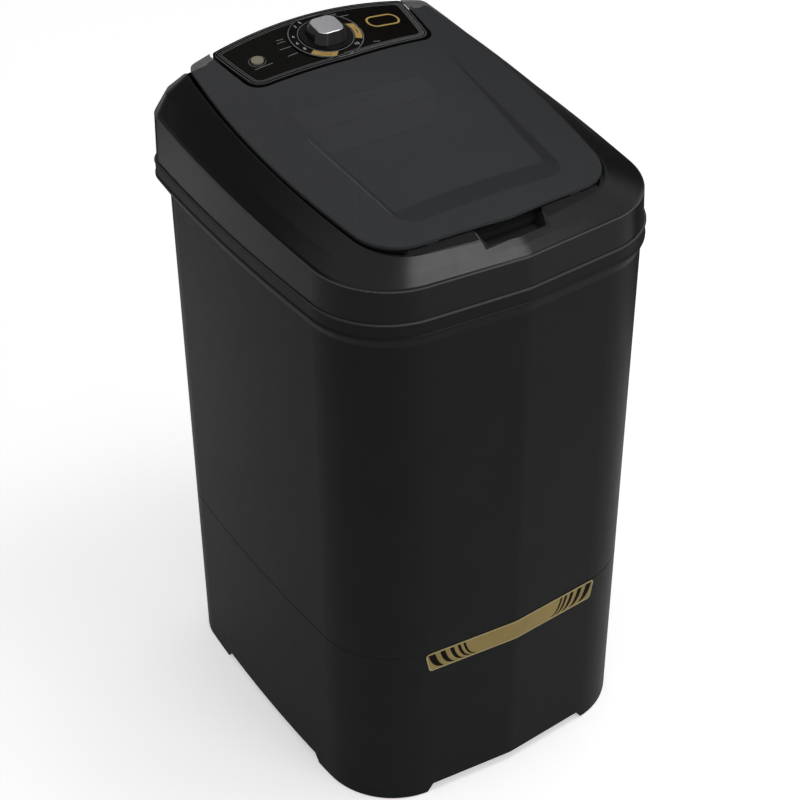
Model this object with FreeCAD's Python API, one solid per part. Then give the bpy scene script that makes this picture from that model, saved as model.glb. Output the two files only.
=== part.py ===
"""Single-tub washing machine: a tall tapered tub on a base with corner feet, a sloped top frame,
a crowned hinged lid with a control panel in its rear notch, and a belt-driven impeller below.

Millimetres. X runs to the right, Y to the back and Z up. The origin is on the floor, at the centre
of the plan.
"""
import FreeCAD, Part
import math
import os
from collections import namedtuple

V = FreeCAD.Vector
UP = V(0, 0, 1)

# Depth of the rim, from which every place along Y follows
RIM_DEPTH = 593.0
HALF_DEPTH = RIM_DEPTH / 2

# Plan of the cabinet wall at the floor
HALF_FRONT = 240.0
HALF_BACK = 244.5
FRONT_SETBACK = 4.1
BACK_SETBACK = 17.8
FRONT_TIP = FRONT_SETBACK - HALF_DEPTH
BACK_APEX = HALF_DEPTH - BACK_SETBACK
PROW = 19.4
SIDE_BOW = 13.5
BACK_BOW = 6.2
FRONT_RADIUS = 118.0
BACK_RADIUS = 80.0
PROW_RADIUS = 60.0
WALL_DRAFT = 2.0
LEAST_RADIUS = 1.5

# Heights of the cabinet
FOOT_LIFT = 2.0
SEAM_Z = 292.0
SEAM_CHAMFER = 1.6
COVE_Z = 831.0
RIM_LOW_Z = 843.0
RIM_TOP_Z = 867.0

# Rolled rim of the tub
RIM_HALF_FRONT = 247.0
RIM_HALF_BACK = 251.3
RIM_FRONT_RADIUS = 119.0
RIM_BACK_RADIUS = 50.0
RIM_LEDGE = 3.0
RIM_LEDGE_RISE = 1.8
RIM_BEAD = 3.0
RIM_GROOVE = 1.2
RIM_GROOVE_RISE = 0.7

# Tub
WALL = 4.0
FLOOR_Z = 352.0
FLOOR = 6.0
FLOOR_CHAMFER = 26.0
DISH_GAP = 8.0
DISH_DEPTH = 20.0
SHAFT_ROOM = 4.0
BOSS_H = 30.0
BOSS_R = 14.0
BOSS_BITE = 18.0
FIX_INSET = 15.0

# Base with its arches and feet
BASE_WALL = 4.0
ARCH_H = 15.7
ARCH_SIDE_HALF = 143.0
ARCH_FRONT_HALF = 146.0
ARCH_RUN = 12.0
FOOT_PLATE = 6.0
FOOT_MARGIN = 4.0
FLANGE_W = 22.0
FLANGE_T = 6.0
PAD_R = 24.0
PAD_H = 7.0
PAD_TAPER = 2.0
PAD_PEG_R = 9.6
PAD_X = 190.0
PAD_Y = 200.0

# Top frame
FRAME_WALL = 3.0
SKIRT_STEP = 3.4
SKIRT_DRAFT = 2.0
SKIRT_FRONT_Z = 912.2
SKIRT_SLOPE = 0.0486
EDGE_SOFT = 2.4
EDGE_SHARE = 0.08
HIP_BULGE = 4.5
LAP_H = 14.0
LAP_T = 3.0
LAP_GAP = 0.4
RIM_SCREW_RISE = 12.0
RIM_SCREW_X = 150.0
RIM_SCREW_SINK = 4.5
RIM_SCREW_PAST = 2.0
OPENING_INSET = 28.0
LIP_T = 3.0
LIP_H = 24.0
APRON_HALF = 112.0
APRON_H = 66.0

# Lid: plan, edge plane and crown
LID_HALF_FRONT = 178.5
LID_HALF_BACK = 193.0
LID_FRONT_SETBACK = 50.1
LID_BACK_SETBACK = 32.9
LID_TIP = LID_FRONT_SETBACK - HALF_DEPTH
LID_APEX = HALF_DEPTH - LID_BACK_SETBACK
LID_PROW = 17.0
LID_BOW = 20.0
LID_BACK_BOW = 16.0
LID_FRONT_RADIUS = 70.0
LID_BACK_RADIUS = 12.0
LID_EDGE_Z = 933.4
LID_SLOPE = 0.127
LID_RISE = 4.2
CROWN_FRONT = 13.0
CROWN_BACK = 22.3
CROWN_HALF = 205.0
CROWN_MARGIN = 30.0
LID_SKIN = 3.5
LID_RIM = 4.0
LID_GAP = 3.0
PAN_DEPTH = 9.0
PAN_MARGIN = 47.0
PAN_FRONT = LID_TIP + PAN_MARGIN
PAN_RAMP = 42.0
PAN_END = 37.0
PAN_HALF_FRONT = 128.0
PAN_HALF_BACK = 141.0
PAN_RUN = 12.0
PAN_CORNER = 32.0
PAN_CORNER_STEPS = 5
PAN_LEAD = 5.0

# Seat of the lid in the frame, with its upstand, bumpers and finger pocket
SEAT_STEP = 5.0
SEAT_LEDGE = 15.6
SEAT_TIP = LID_TIP - SEAT_LEDGE
SEAT_LIFT = 2.2
SEAT_SINK = 2.0
RECESS_STEP = 4.0
DECK_DEPTH = 8.0
UPSTAND_IN = 0.5
UPSTAND_T = 4.0
SILL_HALF = 150.0
SILL_PANES = 12
SILL_IN = 1.0
SILL_DROP = 0.4
BUMPER_INSET = 0.4
BUMPER_HALF = 8.0
BUMPER_AIR = 0.3
BUMPER_FRONT_X = 110.0
BUMPER_SIDE_Y = (-70.0, 130.0)
POCKET_HALF = 41.0
POCKET_FLARE = 5.0
POCKET_RISE = 15.0
POCKET_SPLAY = 4.0
POCKET_PROW = 5.0
POCKET_REACH = 5.0
POCKET_UNDER = 10.4
POCKET_FRONT = SEAT_TIP - POCKET_REACH
POCKET_BACK = LID_TIP + POCKET_UNDER
POCKET_FLOOR = 917.0

# Lid hinge
HINGE_SETBACK = 23.6
HINGE_Y = LID_APEX - HINGE_SETBACK
HINGE_Z = 988.0
PIN_R = 3.0
PIN_PLAY = 0.05
KNUCKLE_R = 6.2
LUG_R = 6.0
LUG_IN = 162.0
LUG_T = 4.5
LUG_DEPTH = 14.0
LUG_ARM_TOP = 3.0
LUG_ARM_BITE = 6.0
KNUCKLE_W = 16.5
HINGE_PLAY = 0.6
EAR_AIR = 1.2
UPSTAND_STOP = 35.0
UPSTAND_BACK = HINGE_Y - UPSTAND_STOP

# Control panel
PANEL_HALF_FRONT = 143.0
PANEL_HALF_BACK = 155.5
PANEL_SETBACK = 2.1
PANEL_DEPTH = 119.1
PANEL_APEX = LID_APEX - PANEL_SETBACK
PANEL_TIP = PANEL_APEX - PANEL_DEPTH
PANEL_PROW = 6.3
PANEL_BOW = 1.0
PANEL_BACK_BOW = 10.0
PANEL_FRONT_RADIUS = 22.0
PANEL_BACK_RADIUS = 6.0
PANEL_GAP = 4.2
PANEL_WALL = 3.0
BEZEL = 8.5
BEZEL_RECESS = 1.7
BEZEL_LINE = 1.0
BEZEL_LINE_INSET = 3.4
BEZEL_LINE_DEPTH = 0.8
FASCIA_T = 1.4
FASCIA_GAP = 0.2
PANEL_SHELF = 17.4
OPENING_BACK = PANEL_TIP - PANEL_SHELF

# Timer, dial and knob, measured from the dial centre on the panel
DIAL_SETBACK = 59.0
DIAL_Y = PANEL_APEX - DIAL_SETBACK
DIAL_R = 54.0
DIAL_PROUD = 1.0
DIAL_CHAMFER = 0.6
DIAL_ROOT = 5.0
SHAFT_HOLE_R = 5.5
TIMER_SHAFT_R = 4.0
SHAFT_FLAT = 1.5
TIMER_W = 62.0
TIMER_D = 52.0
TIMER_H = 40.0
TIMER_LUG = 4.0
TIMER_LUG_HALF = 8.0
TIMER_LUG_H = 10.0
TIMER_AIR_X = 5.0
TIMER_AIR_Y = 8.0
TIMER_WELL = 40.0
SHAFT_SINK = 24.0
SHAFT_BORE_SINK = 28.0
KNOB_R = 38.0
KNOB_BASE_H = 1.6
KNOB_BASE_ROUND = 0.8
KNOB_LIFT = 0.6
KNOB_TOP = 17.5
GRIP_FOOT_W = 53.0
GRIP_FOOT_CORNER = 16.0
GRIP_TOP_W = 43.0
GRIP_TOP_CORNER = 13.0
GRIP_ROOF = 4.5
KNOB_CAP_T = 1.4
KNOB_CAP_INSET = 1.2
KNOB_CAP_PROUD = 0.9
KNOB_CAP_EDGE = 0.2
KNOB_MARK_HALF = 1.0
KNOB_MARK_IN = 7.0
KNOB_MARK_OUT = 1.5
KNOB_MARK_DEPTH = 0.5

# Push button, placed on the panel
BUTTON_X = -112.0
BUTTON_SETBACK = 62.5
BUTTON_Y = PANEL_APEX - BUTTON_SETBACK
BUTTON_R = 8.8
BUTTON_PLAY = 0.3
BUTTON_PROUD = 3.0
BUTTON_ROUND = 0.8
BUTTON_FOOT = 2.0
BUTTON_FLANGE_R = 10.5
BUTTON_FLANGE_T = 1.6
BUTTON_STEM_R = 3.0
BUTTON_STEM_H = 4.0
SWITCH_R = 14.0
SWITCH_H = 18.0
SWITCH_TOP = 4.0
SWITCH_WELL = 7.5
SWITCH_WELL_AIR = 0.5
SWITCH_GUIDE = 14.0

# Detergent dispenser under the rear of the lid
DISP_HALF = 104.0
DISP_DEPTH = 54.0
DISP_TOP = 957.0
DISP_H = 46.0
DISP_WALL = 2.5
DISP_CHEEK = 12.0
DISP_CORNER = 16.0
DISP_INLET_R = 7.0
DISP_INLET_BACK = 20.0
DRAWER_GAP = 0.5
DRAWER_FRONT = 4.0
DRAWER_BACK = 4.0
DRAWER_LOW_TOP = 4.0
DRAWER_GRIP_HALF = 18.0
DRAWER_GRIP_REACH = 6.0
DRAWER_GRIP_LOW = 8.0
DRAWER_GRIP_T = 4.0

# Impeller drive
IMPELLER_R = 166.0
IMPELLER_T = 8.0
IMPELLER_GAP = 4.0
IMPELLER_DOME = 26.0
IMPELLER_EDGE = 6.0
IMPELLER_EDGE_H = 3.0
DOME_FOOT_R = 60.0
DOME_TOP_R = 34.0
VANE_COUNT = 6
VANE_W = 14.0
VANE_H = 20.0
VANE_IN = 28.0
VANE_OUT = 10.0
VANE_TIP = 16.0
VANE_CREST = 6.0
VANE_HUB = 4.0
WEEP_R = 3.0
WEEP_RING = 120.0
SHAFT_R = 10.0
SHAFT_TOP_R = 8.0
SHAFT_PLAY = 0.05
SHAFT_SHOULDER = 0.5
SHAFT_TAIL = 16.0
SHAFT_TAP = 23.0
IMPELLER_CAP_R = 20.0
IMPELLER_CAP_TOP_R = 15.0
IMPELLER_CAP_H = 5.0
IMPELLER_SCREW = 18.0
BUSH_R = 15.0
BUSH_H = 26.0
BUSH_DROP = 2.0
HOUSING_R = 24.0
HOUSING_FLANGE_R = 48.0
HOUSING_FLANGE_T = 10.0
HOUSING_H = 120.0
HOUSING_BOLT_R = 37.0
HOUSING_CONE = 12.0
HOUSING_CONE_H = 14.0
SEAL_R = 19.0
SEAL_H = 8.0
PULLEY_GAP = 8.0
PULLEY_W = 20.0
PULLEY_R = 105.0
PULLEY_HUB_R = 20.0
PULLEY_HUB_H = 16.0
PULLEY_WINDOWS = 5
PULLEY_WINDOW_R = 24.0
PULLEY_DISH = 6.9
PULLEY_DISH_RIM = 5.0
NUT_R = 17.0
NUT_H = 10.0
NUT_GAP = 0.2
MOTOR_PULLEY_R = 21.0
MOTOR_HUB = 5.0
MOTOR_HUB_H = 4.0
GROOVE_DEPTH = 8.0
GROOVE_FLARE = 1.2
HUB_STEP = 0.01
BELT_W = 9.0
BELT_T = 6.0
BELT_GAP = 0.6
MOTOR_Y = 150.0
MOTOR_R = 62.0
MOTOR_LOW_H = 26.0
MOTOR_CASE_H = 64.0
MOTOR_TOP_H = 28.0
MOTOR_LOW_R = 54.0
MOTOR_BELL_R = 59.0
MOTOR_TOP_R = 48.0
MOTOR_FINS = 6
MOTOR_FIN_PITCH = 10.0
MOTOR_FIN_T = 3.0
MOTOR_FIN_REACH = 2.0
MOTOR_SHAFT_R = 6.0
MOTOR_SHAFT_UP = 40.0
MOTOR_SHAFT_TAIL = 6.0
MOTOR_SCREW_R = 44.0
MOTOR_BITE = 10.0
PLATE_GAP = 11.0
PLATE_T = 3.0
PLATE_HALF = 74.0
PLATE_CORNER = 14.0
PLATE_HOLE_R = 26.0
PILLAR_R = 9.0
PILLAR_OFF = 58.0
PILLAR_BITE = 20.0

# Drain, filter, capacitor, gland and rear cover
DRAIN_X = 150.0
DRAIN_Y = 190.0
DRAIN_Z = 120.0
PIPE_R = 15.0
PIPE_BORE = 12.0
PIPE_COLLAR = 3.0
PIPE_COLLAR_H = 5.0
STUB_H = 7.0
SPIGOT_R = 13.0
SPIGOT_WALL = 3.0
SPIGOT_FLANGE_R = 24.0
SPIGOT_FLANGE_T = 3.0
SPIGOT_REACH = 19.0
FILTER_HALF = 62.0
FILTER_Z = 500.0
FILTER_H = 260.0
FILTER_T = 15.0
FILTER_SETBACK = 32.7
FILTER_Y = BACK_APEX - FILTER_SETBACK
FILTER_GAP = 0.5
FILTER_FRAME = 12.0
FILTER_WALL = 4.0
FILTER_BACK = 3.0
FILTER_RISE = 8.0
FILTER_TAB_HALF = 20.0
FILTER_TAB_T = 4.0
FILTER_TAB_H = 16.0
FILTER_SLOTS = 14
FILTER_SLOT_SHARE = 0.6
GUIDE_CHEEK = 8.0
CAP_R = 20.0
CAP_H = 70.0
CAP_X = -110.0
CAP_Y = 205.0
CAP_DROP = 10.0
CLIP_T = 2.0
CLIP_H = 20.0
CLIP_DROP = 40.0
CLIP_HALF = 8.0
CLIP_ARM_T = 2.5
CLIP_FOOT = 12.0
GLAND_X = -150.0
GLAND_Z = 180.0
GLAND_R = 10.0
GLAND_BORE = 4.0
GLAND_FLANGE_R = 15.0
GLAND_FLANGE_T = 3.0
GLAND_IN = 10.0
GLAND_CONE = 3.0
GLAND_CONE_H = 10.0
COVER_HALF = 105.0
COVER_LOW = 62.0
COVER_TOP = 236.0
COVER_LAP = 14.0
COVER_T = 2.0
COVER_SCREW = 9.0
COVER_SCREW_AIR = 0.6
VENT_HALF = 60.0
VENT_LOW = 110.0
VENT_PITCH = 15.0
VENT_H = 5.0
VENT_COUNT = 5

# Front band
BAND_HALF_TOP = 150.0
BAND_HALF_LOW = 143.0
BAND_H = 34.5
BAND_T = 1.0
BAND_CORNER = 6.0
BAND_DROP = 2.1

# Screws
SCREW_R = 2.0
SCREW_HEAD_R = 4.5
SCREW_HEAD_H = 2.6
SCREW_HEAD_ROUND = 0.9
SCREW_HEAD_AIR = 0.6
SCREW_PLAY = 0.1

# Small gap between resting faces, overlap of joined and cutting solids, and limits of cutting blocks
SEAT_GAP = 0.1
OVER = 1.0
LONG = 60.0
NEARLY_ONE = 0.99
FAR = 420.0
LOW = 780.0
HIGH = 1090.0

Plan = namedtuple("Plan", "half_front half_back tip apex prow bow back_bow r_front r_back")

BODY = Plan(HALF_FRONT, HALF_BACK, FRONT_TIP, BACK_APEX, PROW, SIDE_BOW, BACK_BOW,
            FRONT_RADIUS, BACK_RADIUS)
RIM = Plan(RIM_HALF_FRONT, RIM_HALF_BACK, -HALF_DEPTH, HALF_DEPTH, PROW, SIDE_BOW, BACK_BOW,
           RIM_FRONT_RADIUS, RIM_BACK_RADIUS)
LID = Plan(LID_HALF_FRONT, LID_HALF_BACK, LID_TIP, LID_APEX, LID_PROW, LID_BOW, LID_BACK_BOW,
           LID_FRONT_RADIUS, LID_BACK_RADIUS)
SEAT = Plan(LID_HALF_FRONT + SEAT_STEP, LID_HALF_BACK + SEAT_STEP, SEAT_TIP, LID_APEX + SEAT_STEP,
            LID_TIP + LID_PROW - SEAT_STEP - SEAT_TIP, LID_BOW, LID_BACK_BOW,
            LID_FRONT_RADIUS + SEAT_STEP, LID_BACK_RADIUS + SEAT_STEP)
PANEL = Plan(PANEL_HALF_FRONT, PANEL_HALF_BACK, PANEL_TIP, PANEL_APEX, PANEL_PROW, PANEL_BOW,
             PANEL_BACK_BOW, PANEL_FRONT_RADIUS, PANEL_BACK_RADIUS)

DISH_R = IMPELLER_R + DISH_GAP
DISH_FLOOR = FLOOR_Z - DISH_DEPTH
DISH_UNDER = DISH_FLOOR - FLOOR
FLOOR_UNDER = FLOOR_Z - FLOOR
STUB_Z = FLOOR_UNDER - STUB_H
RIM_SCREW_Z = RIM_LOW_Z + RIM_SCREW_RISE
FOOT_Z = FOOT_LIFT + PAD_H - FOOT_PLATE / 2
PANEL_UNDER = PANEL_WALL + BEZEL_RECESS
FASCIA_TOP = BEZEL_RECESS - FASCIA_T - SEAT_GAP
KNOB_FLOOR = DIAL_PROUD + KNOB_LIFT
KNOB_PEAK = DIAL_PROUD + KNOB_TOP
IMPELLER_LOW = DISH_FLOOR + IMPELLER_GAP
IMPELLER_TOP = IMPELLER_LOW + IMPELLER_T
IMPELLER_PEAK = IMPELLER_TOP + IMPELLER_DOME
HOUSING_LOW = DISH_UNDER - HOUSING_FLANGE_T - HOUSING_H
PULLEY_Z = HOUSING_LOW - PULLEY_GAP - PULLEY_HUB_H - PULLEY_W / 2
PLATE_Z = PULLEY_Z + PULLEY_W / 2 + MOTOR_HUB_H + PLATE_GAP + PLATE_T
PIPE_END_GAP = BASE_WALL + SPIGOT_WALL
SIDES = (-1, 1)
BACKWARD = V(0, 1, 0)
RIGHT = V(1, 0, 0)

parts = {}


# Plan outlines

def grown(plan, step):
    """The plan moved outwards by a step, or inwards by a negative one."""
    return plan._replace(half_front=plan.half_front + step, half_back=plan.half_back + step,
                         tip=plan.tip - step, apex=plan.apex + step,
                         r_front=max(plan.r_front + step, LEAST_RADIUS),
                         r_back=max(plan.r_back + step, LEAST_RADIUS))


def mixed(first, second, share):
    """The plan part of the way from one plan to another."""
    return Plan(*(a + (b - a) * share for a, b in zip(first, second)))


def corner_arc(centre, start, end):
    """The short arc about a centre from start to end."""
    radius = (start - centre).Length
    middle = centre + (start + end - centre * 2).normalize() * radius
    return Part.Arc(start, middle, end).toShape()


def mirrored(point):
    return V(-point.x, point.y, point.z)


def outline(plan):
    """Closed wire at height 0: a shallow V front with a soft crease, bowed sides, round corners."""
    lean = math.atan(plan.prow / plan.half_front)
    vertex = V(0, plan.tip - PROW_RADIUS * (1 / math.cos(lean) - 1), 0)
    front = V(plan.half_front, plan.tip + plan.prow, 0)
    back = V(plan.half_back, plan.apex - plan.back_bow, 0)
    middle = V((plan.half_front + plan.half_back) / 2 + plan.bow, (front.y + back.y) / 2, 0)
    side = Part.Arc(front, middle, back).toShape().Curve
    rear = Part.Arc(back, V(0, plan.apex, 0), mirrored(back)).toShape().Curve

    along = (front - vertex).normalize()
    inward = V(-along.y, along.x, 0)
    reach = side.Radius - plan.r_front
    offset = vertex + inward * plan.r_front - side.Center
    run = -offset.dot(along) + math.sqrt(offset.dot(along) ** 2 - offset.dot(offset) + reach ** 2)
    corner_f = side.Center + offset + along * run
    on_front = vertex + along * run
    on_side_f = side.Center + (corner_f - side.Center) * (side.Radius / reach)

    r_side = side.Radius - plan.r_back
    r_rear = rear.Radius - plan.r_back
    between = rear.Center - side.Center
    share = (r_side ** 2 - r_rear ** 2 + between.Length ** 2) / (2 * between.Length)
    across = math.sqrt(r_side ** 2 - share ** 2)
    axis = V(between.x, between.y, 0).normalize()
    corner_b = side.Center + axis * share + V(-axis.y, axis.x, 0) * across
    on_side_b = side.Center + (corner_b - side.Center) * (side.Radius / r_side)
    on_rear = rear.Center + (corner_b - rear.Center) * (rear.Radius / r_rear)

    start = vertex + along * (PROW_RADIUS * math.tan(lean))
    side_mid = side.Center + (on_side_f + on_side_b - side.Center * 2).normalize() * side.Radius
    right = [Part.makeLine(start, on_front),
             corner_arc(corner_f, on_front, on_side_f),
             Part.Arc(on_side_f, side_mid, on_side_b).toShape(),
             corner_arc(corner_b, on_side_b, on_rear)]
    left = [corner_arc(mirrored(corner_b), mirrored(on_rear), mirrored(on_side_b)),
            Part.Arc(mirrored(on_side_b), mirrored(side_mid), mirrored(on_side_f)).toShape(),
            corner_arc(mirrored(corner_f), mirrored(on_side_f), mirrored(on_front)),
            Part.makeLine(mirrored(on_front), mirrored(start))]
    back_arc = Part.Arc(on_rear, V(0, plan.apex, 0), mirrored(on_rear)).toShape()
    crease = Part.Arc(mirrored(start), V(0, plan.tip, 0), start).toShape()
    return Part.Wire(right + [back_arc] + left + [crease])


def level(plan, z):
    """The plan's outline at a height."""
    wire = outline(plan)
    wire.translate(V(0, 0, z))
    return wire


def sloped(plan, z_at_zero, slope):
    """The plan's outline on a plane that rises towards the back."""
    shear = FreeCAD.Matrix()
    shear.A32 = slope
    shear.A34 = z_at_zero
    return outline(plan).transformGeometry(shear)


def front_y(plan, x):
    """Y of a plan's front at a given x."""
    line = Part.makeLine(V(x, -FAR, 0), V(x, 0, 0))
    return line.distToShape(outline(plan))[1][0][0].y


def rear_y(plan, x):
    """Y of a plan's bowed back at a given x."""
    radius = (plan.half_back ** 2 + plan.back_bow ** 2) / (2 * plan.back_bow)
    return plan.apex - radius + math.sqrt(radius ** 2 - x ** 2)


# Simple solids

def loft(wires):
    return Part.makeLoft(wires, True, True)


def prism(plan, low=LOW, high=HIGH):
    """Upright solid over a plan."""
    return Part.Face(level(plan, low)).extrude(V(0, 0, high - low))


def box(x0, x1, y0, y1, z0, z1):
    return Part.makeBox(x1 - x0, y1 - y0, z1 - z0, V(x0, y0, z0))


def rod(radius, length, base, direction=UP):
    return Part.makeCylinder(radius, length, base, direction)


def tube(outer, inner, length, base, direction=UP):
    return rod(outer, length, base, direction).cut(rod(inner, length, base, direction))


def joined(shapes):
    """One solid from shapes that touch."""
    return shapes[0].fuse(shapes[1:]).removeSplitter()


def group(shapes):
    return Part.makeCompound(shapes)


def both_sides(shape):
    """The shape and its mirror image across the middle plane."""
    return [shape, shape.mirror(V(0, 0, 0), RIGHT)]


def polygon_face(points):
    return Part.Face(Part.makePolygon(points + points[:1]))


def slab_profile(points, half):
    """Solid over a closed YZ profile, centred on the middle plane."""
    return polygon_face([V(-half, y, z) for y, z in points]).extrude(V(2 * half, 0, 0))


def turned(profile, centre):
    """Solid of revolution about the upright axis at a centre, from an XZ profile."""
    solid = polygon_face([V(x, 0, z) for x, z in profile]).revolve(V(0, 0, 0), UP, 360)
    solid.translate(centre)
    return solid


def edges_along(shape, axis):
    """The straight edges of a shape that run along an axis."""
    return [edge for edge in shape.Edges
            if edge.Curve.TypeId == "Part::GeomLine"
            and abs(edge.tangentAt(edge.FirstParameter).dot(axis)) > NEARLY_ONE]


def rims_at(shape, z):
    """The flat closed edges of a shape at a height."""
    return [edge for edge in shape.Edges
            if abs(edge.BoundBox.ZMin - z) < SEAT_GAP and abs(edge.BoundBox.ZMax - z) < SEAT_GAP]


def ring_points(radius, count, centre, first=0.0):
    """Evenly spaced points on a level circle."""
    angles = [math.radians(first + 360.0 * k / count) for k in range(count)]
    return [centre + V(radius * math.cos(a), radius * math.sin(a), 0) for a in angles]


def screw(base, direction, length):
    """Pan-head screw: its head's inner face is at base and its shank runs along direction."""
    start = base - direction * SCREW_HEAD_H
    head = rod(SCREW_HEAD_R, SCREW_HEAD_H, start, direction)
    crown = [edge for edge in head.Edges
             if edge.Closed and (edge.BoundBox.Center - start).Length < SCREW_HEAD_H / 2]
    return joined([head.makeFillet(SCREW_HEAD_ROUND, crown), rod(SCREW_R, length, base, direction)])


def screw_hole(base, direction, length):
    """Cutting rod for a screw's shank, past both of its ends."""
    return rod(SCREW_R + SCREW_PLAY, length + 2 * OVER, base - direction * OVER, direction)


# Heights that many pieces share

def wall_plan(z, step=0.0):
    """Plan of the cabinet wall's outer face at a height."""
    return grown(BODY, WALL_DRAFT * z / RIM_TOP_Z + step)


def edge_z(y):
    """Height of the lid's lower edge line along the sides."""
    return LID_EDGE_Z + LID_SLOPE * (y - LID_TIP - LID_PROW)


def seat_z(y):
    """Height of the frame's upper edge round the lid."""
    share = (y - SEAT_TIP) / (LID_APEX - SEAT_TIP)
    return edge_z(y) + SEAT_LIFT - (SEAT_LIFT + SEAT_SINK) * share


def deck_z(y):
    """Height of the frame's deck under the lid."""
    return seat_z(y) - DECK_DEPTH


def skirt_z(y):
    """Height of the frame's skirt top edge."""
    return SKIRT_FRONT_Z + SKIRT_SLOPE * (y + HALF_DEPTH)


def top_z(x, y):
    """Height of the crowned top surface that the lid and the panel share."""
    share = (y - LID_TIP) / (LID_APEX - LID_TIP)
    crown = CROWN_FRONT + (CROWN_BACK - CROWN_FRONT) * share
    return edge_z(y) + LID_RISE + crown * (1 - (x / CROWN_HALF) ** 2)


def crown_wire(y, drop, half):
    """Cross-section below the crowned surface."""
    side_z = top_z(half, y) - drop
    crest = V(0, y, top_z(0, y) - drop)
    right, left = V(half, y, side_z), V(-half, y, side_z)
    rest = Part.makePolygon([right, V(half, y, LOW), V(-half, y, LOW), left])
    return Part.Wire([Part.Arc(left, crest, right).toShape()] + rest.Edges)


def crown_block(drop):
    """Everything below the crowned surface, lowered by a drop."""
    half = LID_HALF_BACK + LID_BOW + CROWN_MARGIN
    return loft([crown_wire(y, drop, half) for y in (LID_TIP - CROWN_MARGIN, LID_APEX + CROWN_MARGIN)])


def below_deck(lift):
    """Everything below the frame's deck plane, raised by a lift."""
    front, back = -FAR, FAR
    return slab_profile([(front, LOW - LONG), (back, LOW - LONG), (back, deck_z(back) + lift),
                         (front, deck_z(front) + lift)], FAR)


def placed(shape, x, y):
    """A piece drawn about the panel's surface, set at a point there with its axis along the normal."""
    across = (top_z(x + OVER, y) - top_z(x - OVER, y)) / (2 * OVER)
    along = (top_z(x, y + OVER) - top_z(x, y - OVER)) / (2 * OVER)
    copy = shape.copy()
    copy.Placement = FreeCAD.Placement(V(x, y, top_z(x, y)), FreeCAD.Rotation(UP, V(-across, -along, 1)))
    return copy


# Places of the repeated screws

def wall_points(z):
    """Points just inside the cabinet wall where the tub and the base are screwed together."""
    edges = outline(wall_plan(z, -FIX_INSET)).Edges
    right = []
    for edge, share in ((edges[0], 0.45), (edges[2], 0.3), (edges[2], 0.7), (edges[3], 0.5)):
        right.append(edge.valueAt(edge.FirstParameter + (edge.LastParameter - edge.FirstParameter) * share))
    return [V(sx * p.x, p.y, z) for sx in SIDES for p in right]


def rim_screw_ends(x):
    """Y of the head's seat and of the tip of a screw that holds the frame's lap inside the rim."""
    lap = rear_y(wall_plan(RIM_TOP_Z, -WALL - LAP_GAP - LAP_T), x)
    return rear_y(RIM, x) - RIM_SCREW_SINK, lap - RIM_SCREW_PAST


def cover_points():
    """Screw places of the rear cover, on the base's back face."""
    inset = COVER_LAP / 2
    return [V(sx * (COVER_HALF - inset), rear_y(wall_plan(z), COVER_HALF), z)
            for sx in SIDES for z in (COVER_LOW + inset, COVER_TOP - inset)]


RIM_SCREW_XS = (-RIM_SCREW_X, 0.0, RIM_SCREW_X)
PAD_POINTS = [V(sx * PAD_X, sy * PAD_Y, 0) for sx in SIDES for sy in SIDES]
PLATE_POINTS = [V(sx * PILLAR_OFF, MOTOR_Y + sy * PILLAR_OFF, PLATE_Z) for sx in SIDES for sy in SIDES]
HOUSING_POINTS = ring_points(HOUSING_BOLT_R, 4, V(0, 0, DISH_UNDER), 45.0)
MOTOR_POINTS = ring_points(MOTOR_SCREW_R, 4, V(0, MOTOR_Y, PLATE_Z))


# Tub

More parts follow.
